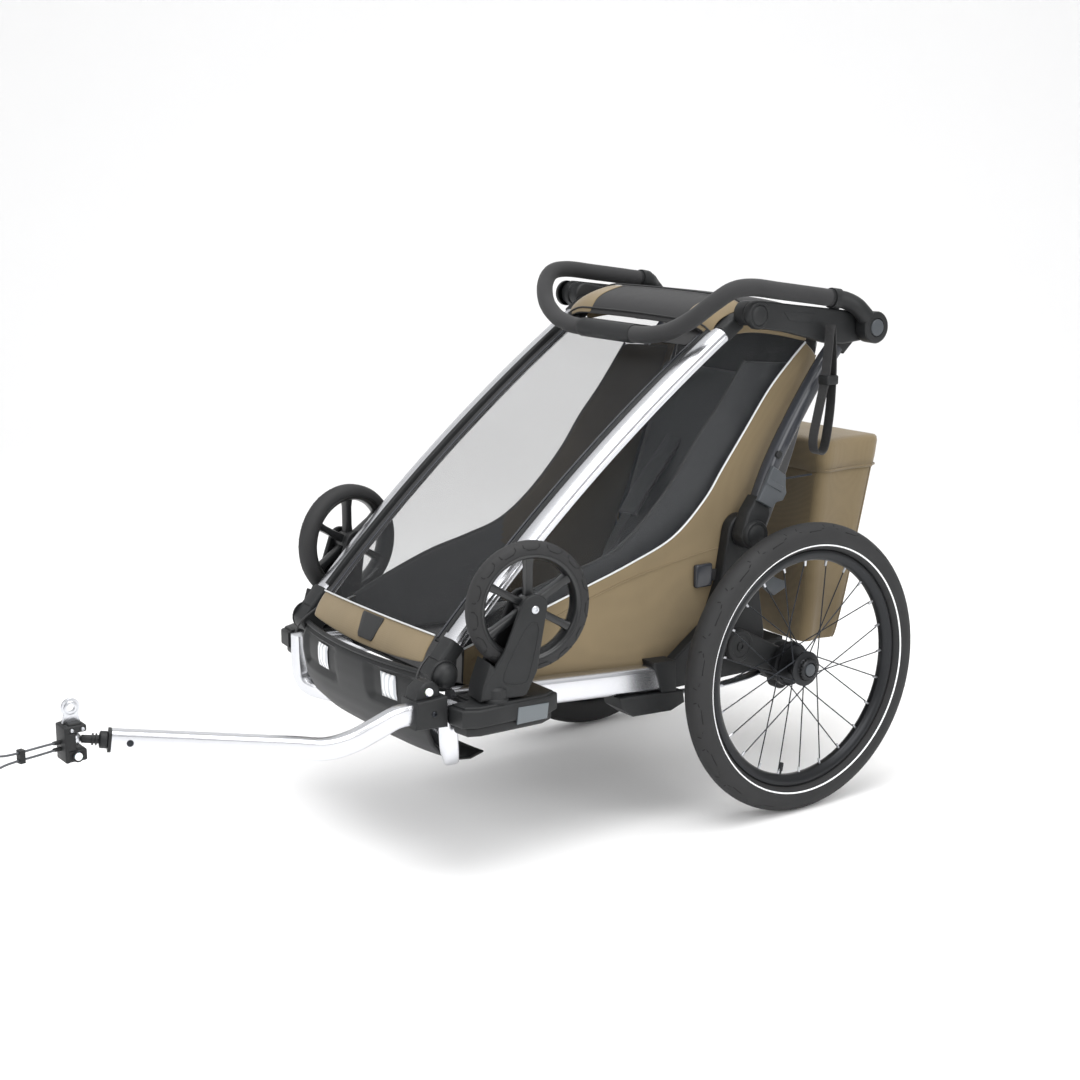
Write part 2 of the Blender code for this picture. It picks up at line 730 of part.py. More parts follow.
def make_stroller_wheel():
    """A moulded six-spoke wheel with its tyre bonded on."""
    half = SMALL_WHEEL_HALF_WIDTH
    outer, inner = SMALL_WHEEL_RADIUS, 0.074
    ring = [
        (half - 0.002, inner),
        (half, 0.080),
        (half, 0.093),
        (half - 0.006, 0.0995),
        (0.0, outer),
        (-half + 0.006, 0.0995),
        (-half, 0.093),
        (-half, 0.080),
        (-half + 0.002, inner),
    ]
    wheel = meshed(turned("stroller_wheel_left", ring, RUBBER, (0, 0, 0), 28, True))
    parts = [rod("small_hub", (-0.0182, 0, 0), (0.0182, 0, 0), 0.018, PLASTIC, 12)]
    for i in range(6):
        turn = math.pi * i / 3
        start = Vector((0, math.cos(turn), math.sin(turn))) * 0.010
        end = start * 7.8
        parts.append(rod(f"small_spoke_{i}", start, end, 0.0062, PLASTIC, 6))
    return toed(meshed(combine(wheel, parts, "UNION")))


# Hitch

def make_hitch_arm():
    """An extruded arm with rounded corners, S-bent to clear the wheel of the bicycle."""
    route = [
        (0.2400, -0.7465, 0.2910),
        (0.2400, -0.7700, 0.2890),
        (0.2360, -0.8000, 0.2770),
        (0.2290, -0.8350, 0.2630),
        tuple(ARM_BEND),
        (0.2040, -0.9217, 0.2639),
        (0.1800, -0.9918, 0.2742),
        tuple(ARM_END),
    ]
    profile = bpy.data.curves.new("arm_section", "CURVE")
    profile.dimensions = "2D"
    ring = profile.splines.new("POLY")
    half_width, half_height, corner = 0.013, 0.016, 0.005
    corners = [(half_width, half_height), (-half_width, half_height), (-half_width, -half_height), (half_width, -half_height)]
    section = []
    for i, (x, z) in enumerate(corners):
        middle = (x - math.copysign(corner, x), z - math.copysign(corner, z))
        section += arc(middle, corner, 90 * i, 90 * i + 90, 2)
    ring.points.add(len(section) - 1)
    for point, (x, z) in zip(ring.points, section, strict=True):
        point.co = (x, z, 0, 1)
    ring.use_cyclic_u = True
    guide = bpy.data.objects.new("arm_section", profile)
    CUTTERS.objects.link(guide)
    guide.hide_render = True
    arm = tube("hitch_arm", smooth_route(route, 2), 0.010, ALUMINIUM)
    arm.data.bevel_mode = "OBJECT"
    arm.data.bevel_object = guide
    arm.data.twist_mode = "Z_UP"
    arm = meshed(arm)
    tongue = block("arm_tongue", (0.2270, -0.7500, 0.2780), (0.2530, -0.7110, 0.3040), ALUMINIUM)
    return combine(arm, [tongue], "UNION")


def make_lock_button():
    start, end = (0.2485, -0.717, 0.3235), (0.2525, -0.717, 0.3235)
    return rod("hitch_lock_button", start, end, 0.0060, PALE_PLASTIC, 16, start)


def make_ball_stem():
    along = (BALL_CENTRE - ARM_END).normalized()
    flange = rod("ball_stem", ARM_END + along * 0.0006, ARM_END + along * 0.012, 0.0120, PLASTIC, 16, ARM_END)
    neck = rod("ball_neck", ARM_END + along * 0.008, BALL_CENTRE - along * 0.0118, 0.0055, PLASTIC, 12)
    return combine(flange, [neck], "UNION")


def make_hitch_ball():
    mesh = bpy.data.meshes.new("hitch_ball")
    work = bmesh.new()
    bmesh.ops.create_uvsphere(work, u_segments=16, v_segments=10, radius=0.0110)
    work.to_mesh(mesh)
    work.free()
    return smooth(add("hitch_ball", mesh, ALUMINIUM, BALL_CENTRE))


def make_coupler():
    """The cup over the ball, open towards the arm, with its lock button and axle eyelet."""
    x, y, z = BALL_CENTRE
    low, high = (x - 0.018, y - 0.018, z - 0.030), (x + 0.018, y + 0.014, z + 0.023)
    cup = block("coupler_cup", low, high, PLASTIC, 0.003, BALL_CENTRE)
    mesh = bpy.data.meshes.new("cup_hollow")
    work = bmesh.new()
    bmesh.ops.create_uvsphere(work, u_segments=20, v_segments=12, radius=0.0118)
    work.to_mesh(mesh)
    work.free()
    hollow = add("cup_hollow", mesh, PLASTIC, BALL_CENTRE)
    mouth = block("cup_mouth", (x - 0.030, y + 0.001, z - 0.014), (x + 0.030, y + 0.030, z + 0.014), PLASTIC)
    lock_z = z - 0.0220
    bore = rod("cup_bore", (x + 0.0125, y, lock_z), (x + 0.0300, y, lock_z), 0.0061, PLASTIC, 16)
    combine(cup, [hollow, mouth, bore], "DIFFERENCE")
    button = (x + 0.0155, y, lock_z)
    rod("coupler_button", button, (x + 0.0200, y, lock_z), 0.0058, PALE_PLASTIC, 16, button)
    top = z + 0.023 + GAP
    eye = (y - 0.002, z + 0.046)
    outline = arc(eye, 0.0135, -40, 220, 12) + [(y - 0.015, top), (y + 0.011, top)]
    outline = outline[::-1]
    plate("axle_eyelet", [outline, circle(eye, 0.0055, 14)], x - 0.002, x + 0.002, ALUMINIUM, 0.0, (y, z))


LEASH_ROUTE = [
    (0.1046, -1.2305, 0.3045),
    (0.1060, -1.2420, 0.3048),
    (0.1085, -1.2540, 0.3050),
    (0.1115, -1.2670, 0.3051),
    (0.1145, -1.2800, 0.3051),
    (0.1172, -1.2920, 0.3051),
    (0.1198, -1.3040, 0.3053),
    (0.1224, -1.3160, 0.3062),
    (0.1250, -1.3280, 0.3084),
    (0.1274, -1.3400, 0.3108),
    (0.1298, -1.3520, 0.3118),
    (0.1320, -1.3630, 0.3100),
    (0.1336, -1.3710, 0.3055),
    (0.1341, -1.3735, 0.2995),
    (0.1336, -1.3710, 0.2935),
    (0.1320, -1.3630, 0.2890),
    (0.1298, -1.3520, 0.2872),
    (0.1274, -1.3400, 0.2882),
    (0.1250, -1.3280, 0.2906),
    (0.1224, -1.3160, 0.2928),
    (0.1198, -1.3040, 0.2937),
    (0.1172, -1.2920, 0.2939),
    (0.1145, -1.2800, 0.2939),
    (0.1115, -1.2670, 0.2939),
    (0.1085, -1.2540, 0.2942),
    (0.1060, -1.2420, 0.2945),
    (0.1046, -1.2305, 0.2948),
]


def make_leash():
    """A covered cable in a loop, with the slider that holds its two strands."""
    tube("leash", smooth_route(LEASH_ROUTE, 1), LEASH_RADIUS, WEBBING)
    strands = [(0.0, 0.0056), (0.0, -0.0056)]
    slider = plate(
        "leash_slider",
        [[(-0.005, -0.0095), (0.005, -0.0095), (0.005, 0.0095), (-0.005, 0.0095)]]
        + [circle(place, 0.0023, 10) for place in strands],
        -0.004,
        0.004,
        PLASTIC,
    )
    along = Vector((0.1198 - 0.1145, -1.3040 + 1.2800, 0.0))
    slider.rotation_euler = (math.pi / 2, 0, math.atan2(along.y, along.x) + math.pi / 2)
    slider.location = (0.1172, -1.2920, 0.2995)
    return slider


def strap_loop(inset):
    """The teardrop side view of the wrist strap, inset by its own thickness."""
    left = [(-0.0030, 0.0), (-0.0160, -0.045), (-0.0270, -0.110), (-0.0250, -0.165), (-0.0190, -0.195)]
    bottom = [(-0.0050, -0.2120), (0.0090, -0.2080)]
    right = [(0.0180, -0.190), (0.0240, -0.150), (0.0240, -0.105), (0.0140, -0.045), (0.0030, 0.0)]
    shape = left + bottom + right
    middle = Vector((0.0, -0.110))
    out = []
    for point in shape:
        away = Vector(point) - middle
        away.x *= 1 - inset / 0.024
        away.y *= 1 - inset / 0.105
        out.append((0.058 + middle.x + away.x, 0.828 + middle.y + away.y))
    return out


def make_wrist_strap():
    return plate("wrist_strap", [strap_loop(0.0), strap_loop(0.003)], 0.2650, 0.2870, WEBBING)


make_floor_pan()
make_front_cross_tube()
make_rear_axle_beam()
make_nose_cover()
make_hitch_receiver()
make_seat()
make_cabin_shell()
make_front_cover()
make_cargo_bag()
make_bag_lid()
make_brake_pedal()
make_roof_panel()
make_rear_cross_tube()
make_handlebar()
make_hitch_arm()
make_lock_button()
make_ball_stem()
make_hitch_ball()
make_coupler()
make_leash()
make_wrist_strap()

PAIRED = [
    make_side_rail,
    make_rear_post,
    make_wing,
    make_front_rail,
    make_rail_foot,
    make_top_arm,
    make_strut,
    make_strut_latch,
    make_handlebar_arm,
    make_handlebar_button,
    make_tyre,
    make_rim,
    make_wheel_hub,
    make_axle_button,
    make_suspension_arm,
    make_stroller_fork,
    make_stroller_wheel,
]
for make in PAIRED:
    left = make()
    mirrored(left, left.name.replace("_left", "_right"))
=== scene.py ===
"""A single-seat child bicycle trailer that folds and converts to a stroller.

Metres, +Z up, -Y towards the bicycle, +X to the trailer's left.
The origin is on the road, under the middle of the rear axle.
"""

import math

import bmesh
import bpy
from mathutils import Matrix, Vector


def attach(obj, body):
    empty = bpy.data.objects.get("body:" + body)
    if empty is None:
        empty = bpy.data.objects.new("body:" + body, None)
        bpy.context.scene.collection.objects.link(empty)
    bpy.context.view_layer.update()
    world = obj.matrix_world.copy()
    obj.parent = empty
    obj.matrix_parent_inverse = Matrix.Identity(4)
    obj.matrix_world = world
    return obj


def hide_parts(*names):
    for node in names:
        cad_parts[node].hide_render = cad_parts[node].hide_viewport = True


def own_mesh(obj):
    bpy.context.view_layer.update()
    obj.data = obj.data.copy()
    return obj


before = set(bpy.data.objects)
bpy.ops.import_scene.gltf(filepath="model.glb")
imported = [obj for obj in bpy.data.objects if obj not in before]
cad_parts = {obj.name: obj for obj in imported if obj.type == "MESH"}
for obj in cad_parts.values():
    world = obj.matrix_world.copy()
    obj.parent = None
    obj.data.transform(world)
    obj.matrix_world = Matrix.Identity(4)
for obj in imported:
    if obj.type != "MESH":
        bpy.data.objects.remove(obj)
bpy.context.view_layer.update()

# ---------------------------------------------------------------- Camera
# A long lens on a tripod, ahead of the trailer and to its left, a little
# above the cabin.

camera_data = bpy.data.cameras.new("studio_camera")
camera_data.lens = 61.57
camera_data.sensor_width = 36.0
camera_data.clip_start = 0.05
camera = bpy.data.objects.new("studio_camera", camera_data)
camera.location = (2.50330, -2.10217, 1.13753)
camera.rotation_euler = (math.radians(90 - 12.443), 0.0, math.radians(54.791))
bpy.context.scene.collection.objects.link(camera)
bpy.context.scene.camera = camera

# ---------------------------------------------------------------- Safety leash
# A steel cable in a dark plastic cover, both ends crimped into the coupler.
# It loops out in front, and a moulded slider keeps its two strands together.


def linear(code):
    """An sRGB hex colour as linear RGBA."""
    parts = [int(code[i : i + 2], 16) / 255 for i in (1, 3, 5)]
    return (*[c / 12.92 if c <= 0.04045 else ((c + 0.055) / 1.055) ** 2.4 for c in parts], 1.0)


def add_node(tree, kind, settings=None, values=None, links=None):
    """A node of this kind, with its settings, its input values and its incoming links."""
    node = tree.nodes.new(kind)
    for key, value in (settings or {}).items():
        setattr(node, key, value)
    for key, value in (values or {}).items():
        node.inputs[key].default_value = value
    for key, source in (links or {}).items():
        tree.links.new(source, node.inputs[key])
    return node


def new_material(name, code, roughness, metallic=0.0, **sockets):
    """A material with one Principled shader, whose uniform values sit on its own sockets."""
    made = bpy.data.materials.new(name)
    made.use_nodes = True
    shader = made.node_tree.nodes["Principled BSDF"]
    shader.inputs["Base Color"].default_value = linear(code)
    shader.inputs["Roughness"].default_value = roughness
    shader.inputs["Metallic"].default_value = metallic
    for key, value in sockets.items():
        shader.inputs[key.replace("_", " ")].default_value = value
    made.diffuse_color = linear(code)
    return made, made.node_tree, shader


def grained(made, size, height, tint=None, patch=0.05, stretch=(1.0, 1.0, 1.0)):
    """Gives a finish a fine bump of that grain size, and slow drifts towards a second tint."""
    tree = made.node_tree
    shader = tree.nodes["Principled BSDF"]
    place = add_node(tree, "ShaderNodeTexCoord")
    centre = add_node(tree, "ShaderNodeMapping", values={"Scale": stretch}, links={"Vector": place.outputs["Object"]})
    grain = add_node(
        tree,
        "ShaderNodeTexNoise",
        values={"Scale": 1 / size, "Detail": 2.0},
        links={"Vector": centre.outputs["Vector"]},
    )
    bump = add_node(
        tree,
        "ShaderNodeBump",
        values={"Strength": 0.6, "Distance": height},
        links={"Height": grain.outputs["Fac"]},
    )
    tree.links.new(bump.outputs["Normal"], shader.inputs["Normal"])
    if tint:
        drift = add_node(
            tree,
            "ShaderNodeTexNoise",
            values={"Scale": 1 / patch, "Detail": 3.0},
            links={"Vector": place.outputs["Object"]},
        )
        ramp = add_node(tree, "ShaderNodeValToRGB", links={"Fac": drift.outputs["Fac"]})
        ramp.color_ramp.elements[0].position = 0.35
        ramp.color_ramp.elements[1].position = 0.70
        ramp.color_ramp.elements[0].color = shader.inputs["Base Color"].default_value
        ramp.color_ramp.elements[1].color = linear(tint)
        tree.links.new(ramp.outputs["Color"], shader.inputs["Base Color"])
    return made


def curved(points, per_span=6, closed=False):
    """Points of a Catmull-Rom curve through the given points."""
    given = [Vector(p) for p in points]
    if closed:
        given = [given[-1], *given, given[0], given[1]]
    else:
        given = [2 * given[0] - given[1], *given, 2 * given[-1] - given[-2]]
    route = []
    for p0, p1, p2, p3 in zip(given, given[1:], given[2:], given[3:]):
        for step in range(per_span):
            t = step / per_span
            bend = (2 * p0 - 5 * p1 + 4 * p2 - p3) * t * t
            twist = (3 * p1 - p0 - 3 * p2 + p3) * t * t * t
            route.append(0.5 * (2 * p1 + (p2 - p0) * t + bend + twist))
    if not closed:
        route.append(given[-2])
    return route


def new_piece(name, points, faces, finish, body=None, angle=35, uvs=None):
    """A mesh object from points and faces, welded, facing out, with its finish."""
    mesh = bpy.data.meshes.new(name)
    mesh.from_pydata([tuple(p) for p in points], [], faces)
    if uvs is not None:
        layer = mesh.uv_layers.new(name="UVMap")
        for loop in mesh.loops:
            layer.data[loop.index].uv = uvs[loop.vertex_index]
    work = bmesh.new()
    work.from_mesh(mesh)
    if uvs is None:
        bmesh.ops.remove_doubles(work, verts=work.verts, dist=0.00001)
    bmesh.ops.recalc_face_normals(work, faces=work.faces)
    work.to_mesh(mesh)
    work.free()
    mesh.shade_smooth()
    mesh.set_sharp_from_angle(angle=math.radians(angle))
    piece = bpy.data.objects.new(name, mesh)
    bpy.context.scene.collection.objects.link(piece)
    mesh.materials.append(finish)
    if body:
        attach(piece, body)
    return piece


def round_section(radius, sides=14):
    """Points round a circle."""
    turns = [2 * math.pi * i / sides for i in range(sides)]
    return [(radius * math.cos(t), radius * math.sin(t)) for t in turns]


def box_section(width, height, corner, steps=3):
    """Points round a rectangle with rounded corners."""
    ring = []
    for quarter, (sx, sz) in enumerate([(1, 1), (-1, 1), (-1, -1), (1, -1)]):
        for i in range(steps + 1):
            t = math.pi / 2 * (quarter + i / steps)
            ring.append(
                (sx * (width / 2 - corner) + corner * math.cos(t), sz * (height / 2 - corner) + corner * math.sin(t))
            )
    return ring


def swept(name, route, section, finish, body=None, up=(0, 0, 1), closed=False, angle=35, widths=None):
    """A section carried along a route, held upright by the up direction."""
    route = [Vector(p) for p in route]
    count, sides = len(route), len(section)
    points = []
    for i, place in enumerate(route):
        ahead = route[(i + 1) % count] if closed else route[min(i + 1, count - 1)]
        behind = route[(i - 1) % count] if closed else route[max(i - 1, 0)]
        along = (ahead - behind).normalized()
        side = along.cross(Vector(up)).normalized()
        high = side.cross(along)
        share = widths[i] if widths else 1.0
        points += [place + (side * a + high * b) * share for a, b in section]
    faces = []
    for i in range(count if closed else count - 1):
        for k in range(sides):
            a, b = i * sides + k, i * sides + (k + 1) % sides
            c, d = ((i + 1) % count) * sides + (k + 1) % sides, ((i + 1) % count) * sides + k
            faces.append((a, b, c, d))
    if not closed:
        faces.append(tuple(range(sides)))
        faces.append(tuple(range((count - 1) * sides, count * sides)))
    return new_piece(name, points, faces, finish, body, angle)


LEASH_ROUTE = [
    (0.1046, -1.2305, 0.3045),
    (0.1060, -1.2420, 0.3048),
    (0.1085, -1.2540, 0.3050),
    (0.1115, -1.2670, 0.3051),
    (0.1145, -1.2800, 0.3051),
    (0.1172, -1.2920, 0.3051),
    (0.1198, -1.3040, 0.3053),
    (0.1224, -1.3160, 0.3062),
    (0.1250, -1.3280, 0.3084),
    (0.1274, -1.3400, 0.3108),
    (0.1298, -1.3520, 0.3118),
    (0.1320, -1.3630, 0.3100),
    (0.1336, -1.3710, 0.3055),
    (0.1341, -1.3735, 0.2995),
    (0.1336, -1.3710, 0.2935),
    (0.1320, -1.3630, 0.2890),
    (0.1298, -1.3520, 0.2872),
    (0.1274, -1.3400, 0.2882),
    (0.1250, -1.3280, 0.2906),
    (0.1224, -1.3160, 0.2928),
    (0.1198, -1.3040, 0.2937),
    (0.1172, -1.2920, 0.2939),
    (0.1145, -1.2800, 0.2939),
    (0.1115, -1.2670, 0.2939),
    (0.1085, -1.2540, 0.2942),
    (0.1060, -1.2420, 0.2945),
    (0.1046, -1.2305, 0.2948),
]

# Extruded PVC over the cable: smooth, dark grey, with the strand just showing.
cable_cover, tree, shader = new_material("pvc_cable_cover", "#4A4C50", 0.38)
grained(cable_cover, 0.0012, 0.0002)

LEASH_DIAMETER = 0.0035
leash_path = curved(LEASH_ROUTE, 3)
leash = swept("leash_cable", leash_path, round_section(LEASH_DIAMETER / 2, 12), cable_cover, "coupler")
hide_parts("leash")

# Injection-moulded glass-filled nylon: near black, fine spark-eroded texture.
black_nylon, tree, shader = new_material("moulded_black_nylon", "#191A1B", 0.50, Specular_IOR_Level=0.32)
grained(black_nylon, 0.0009, 0.00012, "#232425", 0.12)


def refinish(finish, *names):
    """Gives CAD nodes whose shape is right their real finish."""
    for name in names:
        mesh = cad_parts[name].data
        mesh.materials.clear()
        mesh.materials.append(finish)


refinish(black_nylon, "leash_slider")

# ---------------------------------------------------------------- Studio
# A seamless pale floor that runs up into a backdrop, with three large soft lights.

stage_finish, tree, shader = new_material("matt_paper", "#FAFAFA", 0.9)
stage_points, stage_faces = [], []
profile = [
    (-6.0, 0.0), (-2.0, 0.0), (0.0, 0.0), (2.0, 0.0), (3.0, 0.0), (3.6, 0.04), (4.2, 0.35), (4.7, 1.2),
    (4.8, 6.0)
]
for reach, height in profile:
    for side in (-9.0, 9.0):
        back = Vector((-math.sin(math.radians(54.8)), math.cos(math.radians(54.8)), 0))
        right = Vector((back.y, -back.x, 0))
        stage_points.append(back * reach + right * side + Vector((0, 0, height - 0.0002)))
for i in range(len(profile) - 1):
    stage_faces.append((2 * i, 2 * i + 1, 2 * i + 3, 2 * i + 2))
floor = new_piece("studio_floor", stage_points, stage_faces, stage_finish)
floor.modifiers.new("sweep", "SUBSURF").levels = 2
floor.modifiers["sweep"].render_levels = 2


def soft_light(name, place, target, size, power):
    """A square soft box that faces its target."""
    data = bpy.data.lights.new(name, "AREA")
    data.shape = "SQUARE"
    data.size = size
    data.energy = power
    lamp = bpy.data.objects.new(name, data)
    lamp.location = place
    lamp.rotation_euler = (Vector(target) - Vector(place)).to_track_quat("-Z", "Y").to_euler()
    bpy.context.scene.collection.objects.link(lamp)


soft_light("soft_box_over", (0.6, -0.6, 3.4), (0, -0.3, 0.3), 2.6, 78)
soft_light("soft_box_left", (3.0, -0.2, 1.9), (0, -0.3, 0.4), 2.0, 40)
soft_light("soft_box_front", (0.2, -3.6, 1.8), (0, -0.4, 0.4), 2.2, 36)
world = bpy.data.worlds.new("studio")
world.use_nodes = True
sky = world.node_tree
place = add_node(sky, "ShaderNodeTexCoord")
split = add_node(sky, "ShaderNodeSeparateXYZ", links={0: place.outputs["Generated"]})
fade = add_node(sky, "ShaderNodeValToRGB", links={"Fac": split.outputs["Z"]})
fade.color_ramp.elements[0].color = (0.46, 0.46, 0.47, 1)
fade.color_ramp.elements[1].color = (1, 1, 1, 1)
fade.color_ramp.elements[1].position = 0.75
sky.links.new(fade.outputs["Color"], sky.nodes["Background"].inputs["Color"])
world.node_tree.nodes["Background"].inputs["Strength"].default_value = 0.95
bpy.context.scene.world = world
bpy.context.scene.view_settings.view_transform = "Standard"

# ---------------------------------------------------------------- Chassis rails
# Short aluminium extrusions with soft corners along the cabin's lower edges,
# clear anodised to a bright satin, and the formed tube that joins them in front.

anodised, tree, shader = new_material("clear_anodised_aluminium", "#D3D4D8", 0.27, 1.0)
grained(anodised, 0.0015, 0.00004, stretch=(1.0, 0.15, 0.15))


def mirror(piece, name, body=None):
    """The right-hand copy of a left-hand piece, facing out."""
    mesh = piece.data.copy()
    mesh.transform(Matrix.Scale(-1, 4, (1, 0, 0)))
    mesh.flip_normals()
    copy = bpy.data.objects.new(name, mesh)
    bpy.context.scene.collection.objects.link(copy)
    if body:
        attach(copy, body)
    return copy


def both(piece, body, nodes=()):
    """Rides a left-hand piece and makes its right-hand one. A body's name may hold SIDE."""
    pair = []
    for side in ("left", "right"):
        name = piece.name.replace("_left", "_" + side)
        one = piece if side == "left" else mirror(piece, name)
        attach(one, body.replace("SIDE", side))
        if nodes:
            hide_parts(*[node.replace("SIDE", side) for node in nodes])
        pair.append(one)
    return pair


SIDE_RAIL_X = 0.205
rail_route = [(SIDE_RAIL_X, y, 0.2705 - 0.0747 * (y + 0.465)) for y in (-0.650, -0.50, -0.36, -0.2155)]
side_rail = swept("side_rail_left", rail_route, box_section(0.030, 0.043, 0.009, 4), anodised)
both(side_rail, "chassis", ["side_rail_SIDE"])

TUBE_HALF = [
    (0.238, -0.674, 0.296),
    (0.238, -0.674, 0.250),
    (0.237, -0.672, 0.224),
    (0.226, -0.664, 0.206),
    (0.200, -0.646, 0.198),
    (0.130, -0.612, 0.196),
    (0.050, -0.600, 0.196),
    (0.000, -0.600, 0.196),
]
tube_route = TUBE_HALF + [(-x, y, z) for x, y, z in TUBE_HALF[-2::-1]]
front_tube = swept(
    "front_cross_tube",
    curved(tube_route, 6),
    box_section(0.026, 0.024, 0.006, 3),
    anodised,
    "chassis",
    up=(0.0, -1.0, 0.02),
)
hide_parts("front_cross_tube")

# ---------------------------------------------------------------- Chassis mouldings
# The floor pan, the posts that carry the struts, the wedge feet under the side
# rails, and the axle beam, all bolted to the rails.


def slab(name, outlines, low, high, finish, body=None, bevel=0.0015, segments=2, angle=35, face="X"):
    """A side-view outline of (y, z) points with any holes, given its width, edges rounded.

    With face Z the outline is a plan view of (x, y) points, given its height.
    """
    curve = bpy.data.curves.new(name, "CURVE")
    curve.dimensions = "2D"
    curve.fill_mode = "BOTH"
    curve.extrude = (high - low) / 2 - bevel
    curve.bevel_depth = bevel
    curve.bevel_resolution = segments
    curve.offset = -bevel
    for outline in outlines:
        spline = curve.splines.new("POLY")
        spline.points.add(len(outline) - 1)
        for point, (a, b) in zip(spline.points, outline):
            point.co = (a, b, 0.0, 1.0)
        spline.use_cyclic_u = True
    holder = bpy.data.objects.new(name + "_curve", curve)
    bpy.context.scene.collection.objects.link(holder)
    bpy.context.view_layer.update()
    mesh = bpy.data.meshes.new_from_object(holder.evaluated_get(bpy.context.evaluated_depsgraph_get()))
    bpy.data.objects.remove(holder)
    mesh.name = name
    turn = Matrix.Identity(4)
    if face == "X":
        turn = Matrix(((0, 0, 1, 0), (1, 0, 0, 0), (0, 1, 0, 0), (0, 0, 0, 1)))
        mesh.transform(Matrix.Translation(((low + high) / 2, 0, 0)) @ turn)
    else:
        mesh.transform(Matrix.Translation((0, 0, (low + high) / 2)))
    work = bmesh.new()
    work.from_mesh(mesh)
    bmesh.ops.remove_doubles(work, verts=work.verts, dist=0.00002)
    bmesh.ops.dissolve_degenerate(work, edges=work.edges, dist=0.00001)
    bmesh.ops.recalc_face_normals(work, faces=work.faces)
    work.to_mesh(mesh)
    work.free()
    mesh.materials.clear()
    mesh.materials.append(finish)
    mesh.shade_smooth()
    mesh.set_sharp_from_angle(angle=math.radians(angle))
    piece = bpy.data.objects.new(name, mesh)
    bpy.context.scene.collection.objects.link(piece)
    if body:
        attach(piece, body)
    return piece


def arc(centre, radius, start, end, steps=14):
    """Points along an arc between two angles in degrees."""
    turns = [math.radians(start + (end - start) * i / steps) for i in range(steps + 1)]
    return [(centre[0] + radius * math.cos(t), centre[1] + radius * math.sin(t)) for t in turns]


def lathe(name, profile, centre, finish, body=None, steps=48, axis=(1, 0, 0), closed=False, angle=35):
    """A profile of (reach, radius) points turned about an axis through the centre."""
    turn = Vector(axis).to_track_quat("Z", "Y").to_matrix().to_4x4()
    place = Matrix.Translation(Vector(centre)) @ turn
    points, faces, count = [], [], len(profile)
    for i in range(steps):
        t = 2 * math.pi * i / steps
        points += [place @ Vector((r * math.cos(t), r * math.sin(t), a)) for a, r in profile]
    for i in range(steps):
        for k in range(count if closed else count - 1):
            a, b = i * count + k, i * count + (k + 1) % count
            c, d = ((i + 1) % steps) * count + (k + 1) % count, ((i + 1) % steps) * count + k
            faces.append((a, b, c, d))
    return new_piece(name, points, faces, finish, body, angle)


refinish(black_nylon, "floor_pan")
painted_alloy, tree, shader = new_material("black_anodised_alloy", "#2B2C2E", 0.34, 0.75)
grained(painted_alloy, 0.0015, 0.00003)
refinish(painted_alloy, "rear_axle_beam", "rear_cross_tube")

STRUT_HINGE = (-0.067, 0.480)
outline = arc(STRUT_HINGE, 0.030, 10, 170)
outline += [(-0.112, 0.400), (-0.140, 0.330), (-0.214, 0.278), (-0.214, 0.230)]
outline += [(-0.016, 0.230), (-0.012, 0.300), (-0.030, 0.400)]
post = slab("rear_post_left", [outline], 0.190, 0.212, black_nylon, bevel=0.003, segments=3)
both(post, "chassis", ["rear_post_SIDE"])

outline = [(-0.334, 0.236), (-0.200, 0.227), (-0.196, 0.206), (-0.225, 0.196), (-0.305, 0.200), (-0.330, 0.218)]
wedge = slab("rail_wedge_left", [outline], 0.176, 0.2235, black_nylon, bevel=0.003, segments=3)
both(wedge, "chassis")
outline = [(-0.262, 0.2845), (-0.216, 0.2815), (-0.214, 0.228), (-0.245, 0.230)]
sleeve = slab("rail_end_sleeve_left", [outline], 0.187, 0.2225, black_nylon, bevel=0.002)
both(sleeve, "chassis")

# ---------------------------------------------------------------- Front wings
# Hollow mouldings on the ends of the front tube. Each holds a stroller fork's
# socket in a raised tray and a smoke-grey reflector behind it.

WING_OUTLINE = [
    (0.2210, -0.654),
    (0.2540, -0.654),
    (0.2560, -0.686),
    (0.2900, -0.682),
    (0.3020, -0.660),
    (0.3020, -0.530),
    (0.2900, -0.508),
    (0.2210, -0.508),
]


def shrunk(outline, amount):
    """The outline moved in by an amount on every side, near enough for a moulded step."""
    middle = Vector((sum(p[0] for p in outline) / len(outline), sum(p[1] for p in outline) / len(outline)))
    moved = []
    for p in outline:
        out = Vector(p) - middle
        moved.append(tuple(middle + out * max(0.05, 1 - amount / out.length)))
    return moved


wing_pieces = [
    slab("wing_left", [WING_OUTLINE], 0.268, 0.2965, black_nylon, bevel=0.004, segments=3, face="Z"),
    slab(
        "wing_keel_left", [shrunk(WING_OUTLINE, 0.010)], 0.252, 0.270, black_nylon, bevel=0.006, segments=3,
        face="Z"
    ),
]
tray = slab(
    "wing_tray_left", [shrunk(WING_OUTLINE, 0.007)], 0.290, 0.3000, black_nylon, bevel=0.002, segments=2,
    face="Z"
)
both(wing_pieces[0], "chassis", ["wing_SIDE"])
both(wing_pieces[1], "chassis")
both(tray, "chassis")
collar = lathe(
    "fork_socket_left",
    [(-0.004, 0.0150), (0.0, 0.0205), (0.004, 0.0200), (0.0055, 0.0180), (0.0055, 0.0146)],
    (0.280, -0.616, 0.3000),
    black_nylon,
    axis=(0, 0, 1),
)
both(collar, "chassis")

# Polycarbonate reflector lens, smoke grey, with a faint glint of its prisms.
smoke_lens, tree, shader = new_material("smoke_reflector_lens", "#5C6266", 0.22, 0.0, IOR=1.58)
grained(smoke_lens, 0.0030, 0.00025)
lens = slab(
    "wing_reflector_left",
    [[(-0.592, 0.2625), (-0.536, 0.2625), (-0.533, 0.2870), (-0.589, 0.2890)]],
    0.3005,
    0.3038,
    smoke_lens,
    bevel=0.001,
)
both(lens, "chassis")

